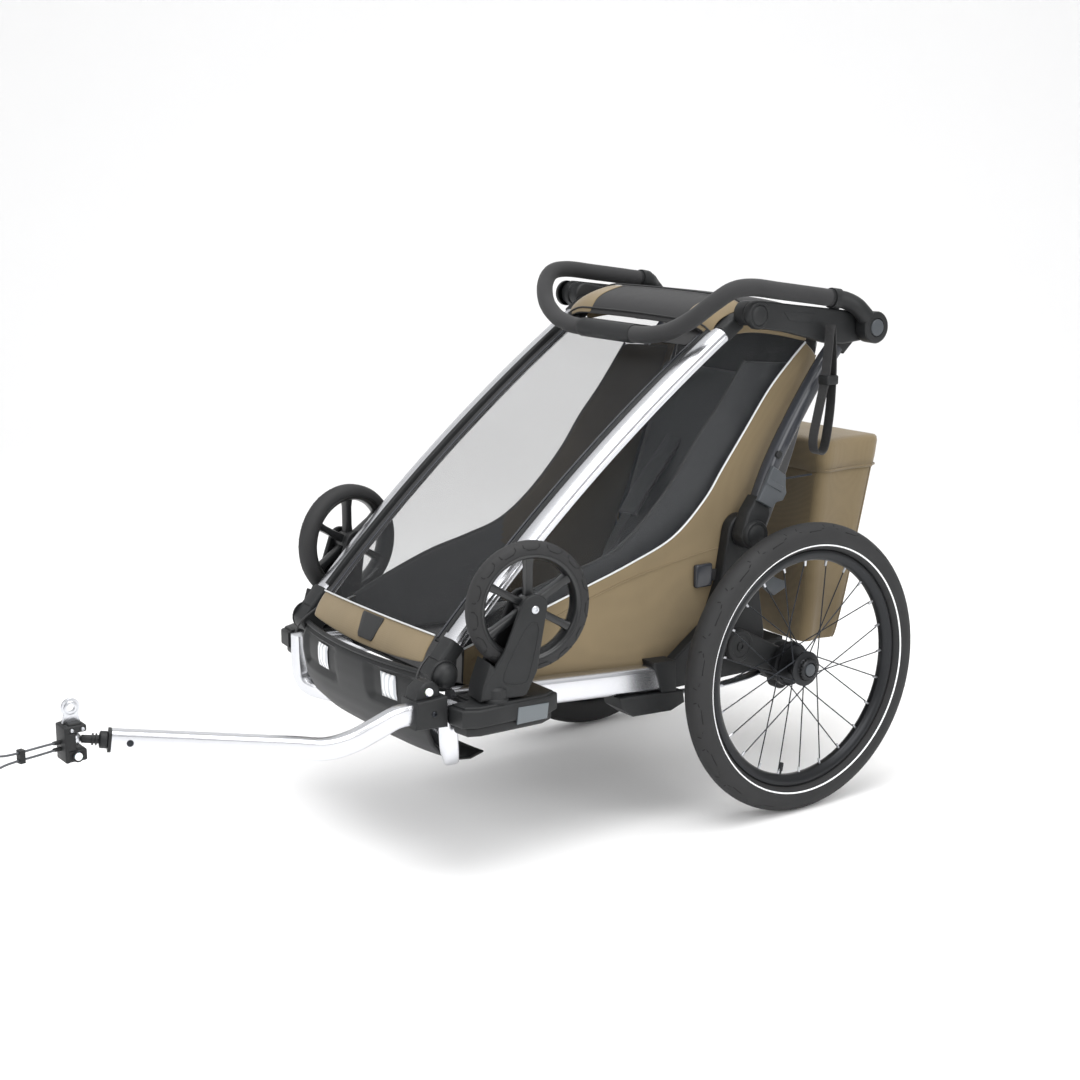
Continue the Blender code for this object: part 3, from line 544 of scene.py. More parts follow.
# ---------------------------------------------------------------- Nose cover
# One large injection moulding that wraps the front tube, with a hinge line
# along its top, two recessed windows for white reflectors and a drain slot.

NOSE_ROWS = [
    (-0.682, 0.333, 0.186),
    (-0.690, 0.322, 0.188),
    (-0.693, 0.305, 0.196),
    (-0.694, 0.285, 0.197),
    (-0.692, 0.262, 0.196),
    (-0.688, 0.238, 0.194),
    (-0.676, 0.212, 0.190),
    (-0.656, 0.190, 0.184),
    (-0.628, 0.176, 0.176),
    (-0.596, 0.170, 0.170),
    (-0.570, 0.176, 0.168),
]
NOSE_COLUMNS = 40


def nose_point(row, share, out=0.0):
    """A place on the nose cover, by row number and by its share of the half width."""
    low = min(int(row), len(NOSE_ROWS) - 2)
    part = row - low
    y, z, half = [a + (b - a) * part for a, b in zip(NOSE_ROWS[low], NOSE_ROWS[low + 1])]
    bow = 0.022 * (1 - share * share) * (1 - row / (len(NOSE_ROWS) - 1))
    tuck = 0.030 * max(0.0, abs(share) - 0.55) ** 2 * min(1.0, row / 4)
    return Vector((half * share, y - bow - out + tuck, z))


points, faces = [], []
rows = [i / 3 for i in range(3 * (len(NOSE_ROWS) - 1) + 1)]
for row in rows:
    for k in range(NOSE_COLUMNS + 1):
        share = 2 * k / NOSE_COLUMNS - 1
        pocket = 1.0 if 0.30 < abs(share) < 0.95 and 1.2 < row < 3.7 else 0.0
        points.append(nose_point(row, share, -0.006 * pocket))
for i in range(len(rows) - 1):
    for k in range(NOSE_COLUMNS):
        a = i * (NOSE_COLUMNS + 1) + k
        faces.append((a, a + 1, a + NOSE_COLUMNS + 2, a + NOSE_COLUMNS + 1))
nose = new_piece("nose_cover", points, faces, black_nylon, "chassis", angle=50)
wall = nose.modifiers.new("wall", "SOLIDIFY")
wall.thickness = 0.003
wall.offset = -1.0
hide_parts("nose_cover")

# The hinge line: a rolled bead with three short knuckles across the top edge.
bead_route = [nose_point(0.15, -1 + 2 * i / 24, 0.001) for i in range(25)]
bead = swept("nose_hinge_bead", bead_route, round_section(0.0042, 10), black_nylon, "chassis")

# White reflectors: clear acrylic over moulded prisms, in upright bands. The bands are also painted into the colour,
# grey to white, as painted shade and highlight on the prism facets.
white_lens, tree, shader = new_material("white_reflector_acrylic", "#F2F3F4", 0.16, 0.0, IOR=1.49)
place = add_node(tree, "ShaderNodeTexCoord")
bands = add_node(
    tree,
    "ShaderNodeTexWave",
    {"wave_type": "BANDS", "bands_direction": "X"},
    {"Scale": 28.0, "Distortion": 1.5, "Detail": 1.0},
    {"Vector": place.outputs["Object"]},
)
# Painted shade and highlight: the prism bands drawn from grey to white in the base colour.
ramp = add_node(tree, "ShaderNodeValToRGB", links={"Fac": bands.outputs["Color"]})
ramp.color_ramp.elements[0].color = linear("#B9BDC2")
ramp.color_ramp.elements[1].color = linear("#FFFFFF")
tree.links.new(ramp.outputs["Color"], shader.inputs["Base Color"])
prism_bump = add_node(
    tree, "ShaderNodeBump", values={"Strength": 0.8, "Distance": 0.001}, links={"Height": bands.outputs["Color"]}
)
tree.links.new(prism_bump.outputs["Normal"], shader.inputs["Normal"])

points, faces = [], []
SHARES, LEVELS = 10, 8
for i in range(LEVELS + 1):
    for k in range(SHARES + 1):
        share = 0.44 + (0.64 - 0.44) * k / SHARES
        bulge = 0.0035 * math.sin(math.pi * i / LEVELS) ** 0.5 * math.sin(math.pi * k / SHARES) ** 0.5
        points.append(nose_point(1.5 + 2.0 * i / LEVELS, share, -0.0045 + bulge))
for i in range(LEVELS):
    for k in range(SHARES):
        a = i * (SHARES + 1) + k
        faces.append((a, a + 1, a + SHARES + 2, a + SHARES + 1))
reflector = new_piece("front_reflector_left", points, faces, white_lens, angle=60)
wall = reflector.modifiers.new("wall", "SOLIDIFY")
wall.thickness = 0.002
both(reflector, "chassis")

# ---------------------------------------------------------------- Hitch receiver
# A glass-filled nylon block on the left wing that takes the hitch arm, with a
# domed lock above it, a white release button and one cross screw.


def rounded_block(name, low, high, finish, body=None, bevel=0.003, segments=3, angle=35):
    """A box with rounded edges."""
    low, high = Vector(low), Vector(high)
    mesh = bpy.data.meshes.new(name)
    work = bmesh.new()
    place = Matrix.Translation((low + high) / 2) @ Matrix.Diagonal((*(high - low), 1.0))
    bmesh.ops.create_cube(work, size=1.0, matrix=place)
    bmesh.ops.bevel(work, geom=work.edges[:], offset=bevel, segments=segments, profile=0.5, affect="EDGES")
    bmesh.ops.recalc_face_normals(work, faces=work.faces)
    work.to_mesh(mesh)
    work.free()
    mesh.materials.append(finish)
    mesh.shade_smooth()
    mesh.set_sharp_from_angle(angle=math.radians(angle))
    piece = bpy.data.objects.new(name, mesh)
    bpy.context.scene.collection.objects.link(piece)
    if body:
        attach(piece, body)
    return piece


receiver = slab(
    "hitch_receiver",
    [[(-0.745, 0.270), (-0.6885, 0.266), (-0.6885, 0.314), (-0.742, 0.3125)]],
    0.214,
    0.262,
    black_nylon,
    "chassis",
    bevel=0.003,
    segments=3,
)
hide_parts("hitch_receiver")
outline = [(-0.741, 0.308), (-0.695, 0.308), (-0.697, 0.328), (-0.706, 0.3365), (-0.722, 0.338), (-0.736, 0.328)]
lock = slab("receiver_lock", [outline], 0.220, 0.2525, black_nylon, "chassis", bevel=0.004, segments=3)

satin_steel, tree, shader = new_material("zinc_plated_steel", "#C9CBCF", 0.28, 1.0)
grained(satin_steel, 0.0020, 0.00004)
black_steel, tree, shader = new_material("black_oxide_steel", "#303236", 0.32, 0.9)
grained(black_steel, 0.0015, 0.00003)


def socket_screw(name, centre, axis, radius, finish, body):
    """A domed screw with a hexagonal socket."""
    profile = [(-0.001, radius), (0.0008, radius), (0.0022, radius * 0.80), (0.0026, radius * 0.50)]
    profile += [(0.0026, radius * 0.42), (0.0006, radius * 0.36), (0.0006, 0.0)]
    screw = lathe(name, profile, centre, finish, body, 24, axis, angle=25)
    return screw


socket_screw("receiver_screw", (0.2622, -0.7130, 0.2905), (1, 0, 0), 0.0046, black_steel, "chassis")

# Natural acetal button: smooth, faintly translucent white.
white_acetal, tree, shader = new_material("white_acetal", "#F1F1EF", 0.30, Subsurface_Weight=0.1)
grained(white_acetal, 0.0020, 0.00003)
button_profile = [(0.0, 0.0060), (0.0035, 0.0060), (0.0050, 0.0052), (0.0056, 0.0030), (0.0056, 0.0)]
lock_button = lathe(
    "hitch_lock_button", button_profile, (0.2525, -0.717, 0.3235), white_acetal, "hitch_lock_button", 28
)
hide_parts("hitch_lock_button")

# ---------------------------------------------------------------- Front rails
# The trailer's spine on each side: a bowed aluminium extrusion with a shallow
# crease along its outer face, in a nylon foot that hinges on the chassis.

RAIL_LOW, RAIL_HIGH = Vector((-0.661, 0.375)), Vector((-0.117, 0.832))
RAIL_ALONG = (RAIL_HIGH - RAIL_LOW).normalized()
RAIL_LENGTH = (RAIL_HIGH - RAIL_LOW).length
RAIL_BOW = 0.020
RAIL_HINGE = (-0.670, 0.333)


def rail_point(x, offset, reach):
    """A place a given depth below the rails' face, at a reach from its lower end."""
    down = Vector((RAIL_ALONG.y, -RAIL_ALONG.x))
    bow = RAIL_BOW * (1 - (2 * reach / RAIL_LENGTH - 1) ** 2)
    place = RAIL_LOW + RAIL_ALONG * reach + down * (offset - bow)
    return Vector((x, place.x, place.y))


route = [rail_point(0.2035, 0.0135, RAIL_LENGTH * i / 30) for i in range(31)]
section = [
    (0.0165, 0.0020),
    (0.0160, 0.0055),
    (0.0135, 0.0095),
    (0.0080, 0.0125),
    (0.0000, 0.0135),
    (-0.0080, 0.0133),
    (-0.0140, 0.0120),
    (-0.0163, 0.0080),
    (-0.0165, 0.0000),
    (-0.0163, -0.0085),
    (-0.0140, -0.0120),
    (-0.0070, -0.0133),
    (0.0040, -0.0133),
    (0.0115, -0.0118),
    (0.0150, -0.0090),
    (0.0163, -0.0050),
    (0.0165, -0.0010),
    (0.0158, 0.0005),
]
gasket_route = [rail_point(0.1885, 0.0060, RAIL_LENGTH * i / 30) for i in range(1, 31)]
gasket = swept("rail_gasket_left", gasket_route, box_section(0.0095, 0.0150, 0.0022, 2), black_nylon)
both(gasket, "front_rails")
front_rail = swept("front_rail_left", route, section, anodised, angle=22)
both(front_rail, "front_rails", ["front_rail_SIDE"])
cap_route = [rail_point(0.2035, 0.0135, RAIL_LENGTH + reach) for reach in (-0.012, 0.006, 0.024, 0.030)]
rail_cap = swept(
    "rail_cap_left", cap_route, box_section(0.0345, 0.0285, 0.008, 4), black_nylon, widths=[1, 1, 0.96, 0.8]
)
both(rail_cap, "front_rails")

foot_route = [rail_point(0.2035, 0.0135, reach) for reach in (0.016, 0.002, -0.010, -0.022)]
foot_sleeve = swept("foot_sleeve_left", foot_route, box_section(0.0350, 0.0290, 0.007, 4), black_nylon)
down = Vector((RAIL_ALONG.y, -RAIL_ALONG.x))
top = RAIL_LOW - RAIL_ALONG * 0.0004
outline = [tuple(top), *arc(RAIL_HINGE, 0.0243, -190, -20)[:], tuple(top + down * 0.027)]
foot = slab("rail_foot_left", [outline], 0.187, 0.220, black_nylon, bevel=0.004, segments=3)
cap_profile = [
    (-0.004, 0.0215), (0.003, 0.0212), (0.0095, 0.0195), (0.0145, 0.0160), (0.0180, 0.0105), (0.0193, 0.0050),
    (0.0196, 0.0)
]
ball_cap = lathe("foot_cap_left", cap_profile, (0.2200, *RAIL_HINGE), black_nylon, steps=40)
seam_ring = lathe(
    "foot_ring_left",
    [(-0.001, 0.0246), (0.0018, 0.0246), (0.0030, 0.0236), (0.0030, 0.0216), (-0.001, 0.0216)],
    (0.2200, *RAIL_HINGE),
    black_nylon,
    steps=40,
    closed=True,
)
both(foot, "front_rails", ["rail_foot_SIDE"])
both(foot_sleeve, "front_rails")
both(ball_cap, "front_rails")
both(seam_ring, "front_rails")

# ---------------------------------------------------------------- Top arms
# Moulded housings from the roof hinge to the handlebar's pivot. A round cap
# covers the hinge, and a blank raised plate sits where a badge would go.

ROOF_HINGE, HANDLE_HINGE = (-0.082, 0.849), (0.155, 0.817)
outline = arc(ROOF_HINGE, 0.0225, 82, 215)
outline += [(-0.088, 0.8260), (-0.062, 0.8235), (-0.020, 0.8165), (0.030, 0.8040), (0.070, 0.7930), (0.105, 0.7900)]
outline += arc(HANDLE_HINGE, 0.0235, 262, 442)
top_arm = slab("top_arm_left", [outline], 0.2405, 0.2615, black_nylon, bevel=0.004, segments=4)
both(top_arm, "top_frame", ["top_arm_SIDE"])
inner_arm = slab(
    "top_arm_inner_left",
    [arc(ROOF_HINGE, 0.021, 82, 240) + [(-0.020, 0.8230), (0.012, 0.8180), (0.022, 0.8480)]],
    0.2150,
    0.2410,
    black_nylon,
    bevel=0.004,
    segments=2,
)
both(inner_arm, "top_frame")
cap_profile = [(-0.002, 0.0228), (0.0040, 0.0228), (0.0065, 0.0212), (0.0065, 0.0178), (0.0050, 0.0165)]
cap_profile += [(0.0062, 0.0155), (0.0080, 0.0110), (0.0086, 0.0)]
roof_cap = lathe("roof_hinge_cap_left", cap_profile, (0.2615, -0.0900, 0.8490), black_nylon, steps=44)
both(roof_cap, "top_frame")
plate_outline = [(-0.033, 0.8515), (0.035, 0.8455), (0.032, 0.8300), (-0.021, 0.8370)]
blank_plate = slab("blank_plate_left", [plate_outline], 0.2612, 0.2626, black_nylon, bevel=0.0006)
both(blank_plate, "top_frame")

# ---------------------------------------------------------------- Roof
# Woven polyester over the top frame: dark grey in the middle, sand-brown
# patches at the front corners, and a bound edge that turns down to the window.

# Woven polyester, piece-dyed: plain weave, matt, with a soft sheen at grazing angles.


def woven(name, code, tint, thread=0.0013, height=0.00006, roughness=0.82, sheen=0.25):
    """A plain-weave cloth. The real thread is about 0.5 mm and is drawn coarser so that it shows."""
    made, tree, shader = new_material(name, code, roughness, Sheen_Weight=sheen, Sheen_Roughness=0.5)
    place = add_node(tree, "ShaderNodeTexCoord")
    waves = []
    for direction in ("X", "Y", "Z"):
        waves.append(
            add_node(
                tree,
                "ShaderNodeTexWave",
                {"wave_type": "BANDS", "bands_direction": direction},
                {"Scale": 0.314 / thread, "Distortion": 0.15},
                {"Vector": place.outputs["Object"]},
            )
        )
    pair = add_node(
        tree, "ShaderNodeMath", {"operation": "MULTIPLY"}, links={
            0: waves[0].outputs["Fac"], 1: waves[1].outputs["Fac"]
        }
    )
    other = add_node(
        tree, "ShaderNodeMath", {"operation": "MULTIPLY"}, links={
            0: waves[1].outputs["Fac"], 1: waves[2].outputs["Fac"]
        }
    )
    weave = add_node(tree, "ShaderNodeMath", {"operation": "ADD"}, links={0: pair.outputs[0], 1: other.outputs[0]})
    drift = add_node(
        tree, "ShaderNodeTexNoise", values={"Scale": 9.0, "Detail": 4.0}, links={"Vector": place.outputs["Object"]}
    )
    ramp = add_node(tree, "ShaderNodeValToRGB", links={"Fac": drift.outputs["Fac"]})
    ramp.color_ramp.elements[0].position = 0.30
    ramp.color_ramp.elements[1].position = 0.72
    ramp.color_ramp.elements[0].color = linear(code)
    ramp.color_ramp.elements[1].color = linear(tint)
    shade = add_node(
        tree,
        "ShaderNodeMix",
        {"data_type": "RGBA", "blend_type": "MULTIPLY"},
        {0: 0.07},
    )
    tree.links.new(ramp.outputs["Color"], shade.inputs[6])
    tree.links.new(weave.outputs[0], shade.inputs[7])
    tree.links.new(shade.outputs[2], shader.inputs["Base Color"])
    folds = add_node(
        tree, "ShaderNodeTexNoise", values={"Scale": 22.0, "Detail": 2.0}, links={"Vector": place.outputs["Object"]}
    )
    soft = add_node(
        tree, "ShaderNodeBump", values={"Strength": 0.25, "Distance": 0.004}, links={"Height": folds.outputs["Fac"]}
    )
    bump = add_node(
        tree,
        "ShaderNodeBump",
        values={"Strength": 0.6, "Distance": height},
        links={"Height": weave.outputs[0], "Normal": soft.outputs["Normal"]},
    )
    tree.links.new(bump.outputs["Normal"], shader.inputs["Normal"])
    return made


sand_cloth = woven("sand_brown_polyester", "#7B6B4E", "#746549")
dark_cloth = woven("dark_grey_polyester", "#2B2B2C", "#262627", sheen=0.06)


def cloth_sheet(name, grid, finish, body=None, thickness=0.0018, levels=1, offset=-1.0):
    """A cloth sheet through a grid of points, with a wall and a smooth surface."""
    rows, columns = len(grid), len(grid[0])
    points = [Vector(p) for row in grid for p in row]
    faces = []
    for i in range(rows - 1):
        for k in range(columns - 1):
            a = i * columns + k
            faces.append((a, a + 1, a + columns + 1, a + columns))
    mesh = bpy.data.meshes.new(name)
    mesh.from_pydata([tuple(p) for p in points], [], faces)
    mesh.materials.append(finish)
    mesh.shade_smooth()
    sheet = bpy.data.objects.new(name, mesh)
    bpy.context.scene.collection.objects.link(sheet)
    wall = sheet.modifiers.new("wall", "SOLIDIFY")
    wall.thickness = thickness
    wall.offset = offset
    if levels:
        soft = sheet.modifiers.new("soft", "SUBSURF")
        soft.levels = levels
        soft.render_levels = levels
    return finished(sheet, body)


def finished(piece, body=None):
    """Applies a piece's modifiers and gives it a place in the frame."""
    bpy.context.view_layer.update()
    mesh = bpy.data.meshes.new_from_object(piece.evaluated_get(bpy.context.evaluated_depsgraph_get()))
    piece.modifiers.clear()
    piece.data = mesh
    work = bmesh.new()
    work.from_mesh(mesh)
    bmesh.ops.recalc_face_normals(work, faces=work.faces)
    work.to_mesh(mesh)
    work.free()
    if body:
        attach(piece, body)
    return piece


ROOF_LINE = curved(
    [
        (0, -0.137, 0.8225), (0, -0.126, 0.8420), (0, -0.105, 0.8560), (0, -0.060, 0.8665),
        (0, 0.000, 0.8640), (0, 0.070, 0.8500), (0, 0.120, 0.8340), (0, 0.132, 0.8180)
    ],
    3,
)


def roof_row(low_x, high_x, columns, lift=0.0):
    """Rows of roof points between two x places, from the front edge to the rear edge."""
    grid = []
    for place in ROOF_LINE:
        row = []
        for k in range(columns + 1):
            x = low_x + (high_x - low_x) * k / columns
            edge = max(0.0, (abs(x) - 0.150) / 0.045)
            crown = 0.004 * (1 - (x / 0.2) ** 2) - 0.012 * edge**2
            row.append((x, place.y, place.z + crown + lift))
        grid.append(row)
    return grid


roof = cloth_sheet("roof_cloth", roof_row(-0.196, 0.196, 28), dark_cloth, "top_frame", 0.0025)
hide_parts("roof_panel")
grid = [row for row, place in zip(roof_row(0.128, 0.199, 8, 0.0016), ROOF_LINE) if place.y < -0.055]
corner = cloth_sheet("roof_corner_left", grid, sand_cloth, thickness=0.0015)
both(corner, "top_frame")
for number, front in enumerate((-0.128, -0.052)):
    rows = [row for row, place in zip(roof_row(-0.196, 0.196, 28, 0.0030), ROOF_LINE) if abs(place.y - front) < 0.008]
    welt = swept(f"roof_welt_{number}", rows[0], round_section(0.0016, 8), dark_cloth, "top_frame")

# ---------------------------------------------------------------- Struts
# Glossy nylon struts from the chassis to the handlebar's pivot, each with a
# hinge disc below and a sliding grey latch with a lobe above it.

gloss_nylon, tree, shader = new_material("polished_grey_nylon", "#33353A", 0.24)
grained(gloss_nylon, 0.0030, 0.00003)
grey_nylon, tree, shader = new_material("moulded_grey_nylon", "#3E4246", 0.45)
grained(grey_nylon, 0.0009, 0.0001, "#44484C", 0.05)

STRUT_PATH = [(-0.067, 0.486), (-0.057, 0.509), (-0.022, 0.587), (0.024, 0.6615), (0.085, 0.745), (0.135, 0.800)]
route = curved([(0.2262, y, z) for y, z in STRUT_PATH], 6)
strut = swept("strut_left", route, box_section(0.0275, 0.028, 0.010, 5), gloss_nylon)
both(strut, "rear_struts", ["strut_SIDE"])
outline = arc(STRUT_HINGE, 0.0262, 175, 375) + [(-0.030, 0.512), (-0.036, 0.532), (-0.060, 0.544), (-0.079, 0.520)]
knuckle = slab("strut_knuckle_left", [outline], 0.2125, 0.2412, black_nylon, bevel=0.004, segments=3)
both(knuckle, "rear_struts")
outline = arc(HANDLE_HINGE, 0.0185, -70, 160) + [(0.108, 0.7860), (0.128, 0.7700)]
head = slab("strut_head_left", [outline], 0.2125, 0.2400, black_nylon, bevel=0.003, segments=3)
both(head, "rear_struts")
disc_profile = [
    (-0.008, 0.0245), (0.006, 0.0245), (0.0095, 0.0225), (0.0095, 0.0190), (0.0082, 0.0180), (0.0090, 0.0168),
    (0.0108, 0.0060), (0.0110, 0.0)
]
disc = lathe("strut_disc_left", disc_profile, (0.2400, *STRUT_HINGE), black_nylon, steps=44)
both(disc, "rear_struts")
pip = lathe(
    "strut_pip_left", [(-0.002, 0.0068), (0.0020, 0.0068), (0.0032, 0.0056), (0.0036, 0.0)],
    (0.2400, -0.0157, 0.6103), black_nylon, steps=24
)
both(pip, "rear_struts")

along = Vector((0.490, 0.872)).normalized()
side = Vector((along.y, -along.x))
foot_place = Vector((-0.050, 0.532))
shape = [
    (-0.018, -0.002), (0.016, -0.002), (0.022, 0.012), (0.033, 0.020), (0.034, 0.034), (0.026, 0.044),
    (0.017, 0.060), (-0.017, 0.062)
]
outline = [tuple(foot_place + side * s + along * a) for s, a in shape]
latch = slab("strut_latch_left", [outline], 0.2408, 0.2500, grey_nylon, bevel=0.0025, segments=3)
both(latch, "strut_latch_SIDE", ["strut_latch_SIDE"])
band = [
    tuple(foot_place + side * s + along * a) for s,
    a in [(-0.0195, 0.030), (0.020, 0.030), (0.020, 0.040), (-0.0195, 0.040)]
]
grip_band = slab("latch_band_left", [band], 0.2480, 0.2520, grey_nylon, bevel=0.0012)
both(grip_band, "strut_latch_SIDE")

# ---------------------------------------------------------------- Handlebar
# A bent alloy tube in a sleeve of closed-cell foam, with a hard sleeve in its
# middle, nylon stubs, and round pivot housings with a grey release button.

grip_foam, tree, shader = new_material("closed_cell_foam", "#262627", 0.88, Sheen_Weight=0.08)
grained(grip_foam, 0.0012, 0.00025, "#2B2B2C", 0.06)
GRIP_HALF = [
    (0.2565, 0.0755, 0.8685),
    (0.2545, 0.0300, 0.8755),
    (0.2530, -0.0350, 0.8850),
    (0.2530, -0.0950, 0.8935),
    (0.2490, -0.1330, 0.8900),
    (0.2330, -0.1600, 0.8700),
    (0.2020, -0.1790, 0.8420),
    (0.1600, -0.1890, 0.8210),
    (0.1200, -0.1930, 0.8120),
    (0.0850, -0.1940, 0.8090),
    (0.0000, -0.1940, 0.8090),
]
route = curved(GRIP_HALF + [(-x, y, z) for x, y, z in GRIP_HALF[-2::-1]], 6)
grip = swept("handlebar_grip", route, round_section(0.0145, 24), grip_foam, "handlebar", up=(0, 0.35, 1))
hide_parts("handlebar_grip")
profile = [(-0.072, 0.0140), (-0.072, 0.0155), (-0.069, 0.0162), (0.069, 0.0162), (0.072, 0.0155), (0.072, 0.0140)]
hard_sleeve = lathe("handlebar_sleeve", profile, (0, -0.194, 0.809), black_nylon, "handlebar")
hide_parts("handlebar_sleeve")

STUB = [
    (0.2562, 0.0700, 0.8692), (0.2572, 0.0880, 0.8666), (0.2640, 0.1040, 0.8630), (0.2740, 0.1200, 0.8530),
    (0.2772, 0.1400, 0.8340)
]
stub = swept("handlebar_stub_left", curved(STUB, 6), round_section(0.0148, 24), black_nylon)
both(stub, "handlebar")
clamp = swept("handlebar_clamp_left", curved(STUB, 6)[2:9], round_section(0.0172, 24), black_nylon)
both(clamp, "handlebar")
profile = [(-0.0265, 0.0230), (-0.0245, 0.0265), (-0.0030, 0.0270), (-0.0008, 0.0255), (0.0, 0.0230), (0.0, 0.0158)]
profile += [(-0.0015, 0.0150), (-0.0075, 0.0150), (-0.0075, 0.0)]
housing = lathe("pivot_housing_left", profile, (0.2890, *HANDLE_HINGE), black_nylon, steps=56)
both(housing, "handlebar", ["handlebar_arm_SIDE"])
profile = [(-0.0015, 0.0142), (0.0010, 0.0142), (0.0022, 0.0132), (0.0028, 0.0100), (0.0024, 0.0)]
button = lathe("handlebar_button_left", profile, (0.2883, *HANDLE_HINGE), grey_nylon, steps=36)
both(button, "handlebar_button_SIDE", ["handlebar_button_SIDE"])
for number, (y, z) in enumerate([(0.134, 0.8535)]):
    screw = lathe(
        "stub_screw_left",
        [(-0.002, 0.0042), (0.0006, 0.0042), (0.0018, 0.0034), (0.0020, 0.0016), (0.0006, 0.0014), (0.0006, 0.0)],
        (0.2770, y, z),
        black_steel,
        axis=(0, 0.5, 1),
        steps=20,
    )
    both(screw, "handlebar")

# ---------------------------------------------------------------- Suspension
# A nylon trailing arm on each side, sprung by a steel leaf under the chassis.
# Its pivot has a round cap, and its end holds the axle socket and brake drum.

SUSPENSION_HINGE, AXLE = (-0.106, 0.296), (0.0, 0.2505)
outline = arc(SUSPENSION_HINGE, 0.0285, 70, 250) + arc(AXLE, 0.0200, 250, 420)
arm = slab("suspension_arm_left", [outline], 0.2405, 0.2560, black_nylon, bevel=0.004, segments=3)
both(arm, "suspension_SIDE", ["suspension_arm_SIDE"])
boss = lathe("suspension_boss_left", [(-0.030, 0.024), (0.010, 0.024)], (0.2400, *SUSPENSION_HINGE), black_nylon)
both(boss, "suspension_SIDE")
cap_profile = [
    (-0.003, 0.0275), (0.0010, 0.0275), (0.0032, 0.0255), (0.0042, 0.0190), (0.0030, 0.0180), (0.0030, 0.0090)
]
cap_profile += [(0.0048, 0.0080), (0.0048, 0.0040), (0.0030, 0.0036), (0.0030, 0.0)]
pivot_cap = lathe("suspension_cap_left", cap_profile, (0.2555, *SUSPENSION_HINGE), black_nylon, steps=44)
both(pivot_cap, "suspension_SIDE")

spring_route = curved(
    [(0.206, -0.200, 0.2195), (0.206, -0.130, 0.2165), (0.206, -0.060, 0.2190), (0.206, -0.006, 0.2270)], 5
)
leaf = swept("leaf_spring_left", spring_route, box_section(0.022, 0.0032, 0.0012, 2), satin_steel)
both(leaf, "chassis")
shackle = slab(
    "spring_shackle_left", [arc((-0.006, 0.226), 0.011, 0, 345)], 0.193, 0.220, black_nylon, bevel=0.002
)
both(shackle, "chassis")

# ---------------------------------------------------------------- Road wheels
# Twenty-inch wheels: wired tyre with a reflective stripe moulded on, black
# alloy rim, 24 crossed steel spokes on plated nipples, and a drum-brake hub.

WHEEL_X, WHEEL_RADIUS, TYRE_SECTION = 0.2957, 0.2505, 0.0235
TYRE_MIDDLE = WHEEL_RADIUS - TYRE_SECTION
wheel_centre = Vector((WHEEL_X, *AXLE))

# Natural-rubber compound: matt, dark, slightly bloomed, with a fine mould skin.
tyre_rubber, tree, shader = new_material("matt_tyre_rubber", "#1C1C1D", 0.72)
grained(tyre_rubber, 0.0010, 0.00012, "#212122", 0.05)
# Painted shade: a near-black rubber for the tread grooves, standing in for the shade inside them.
groove_painted_shade, tree, shader = new_material("tyre_groove_rubber", "#0C0C0D", 0.9)
grained(groove_painted_shade, 0.0010, 0.0001)
# Retro-reflective band: glass beads in white film.
bead_film, tree, shader = new_material("retro_reflective_film", "#F6F7F8", 0.40)
grained(bead_film, 0.0008, 0.0001)


def on_tyre(round_turn, section_turn, lift=0.0):
    """A place on the tyre's skin, by its angle round the wheel and round its section."""
    reach = TYRE_SECTION + lift
    radius = TYRE_MIDDLE + reach * math.sin(section_turn)
    return wheel_centre + Vector(
        (reach * math.cos(section_turn), radius * math.cos(round_turn), radius * math.sin(round_turn))
    )


profile = []
for i in range(28):
    turn = math.radians(-160 + 320 * i / 27) + math.pi / 2
    squared = TYRE_SECTION * (1 - 0.015 * math.cos(4 * turn))
    profile.append((squared * math.cos(turn), TYRE_MIDDLE + squared * math.sin(turn)))
tyre = lathe("tyre_left", profile, wheel_centre, tyre_rubber, steps=128, closed=True, angle=60)
both(tyre, "wheel_SIDE", ["tyre_SIDE"])
profile = [
    (
        (TYRE_SECTION + lift) * math.cos(math.radians(turn)),
        TYRE_MIDDLE + (TYRE_SECTION + lift) * math.sin(math.radians(turn)),
    )
    for turn, lift in [(-34.5, -0.0004), (-34.0, 0.0005), (-28.0, 0.0005), (-27.5, -0.0004)]
]
stripe = lathe("tyre_stripe_left", profile, wheel_centre, bead_film, steps=128, closed=True)
both(stripe, "wheel_SIDE")


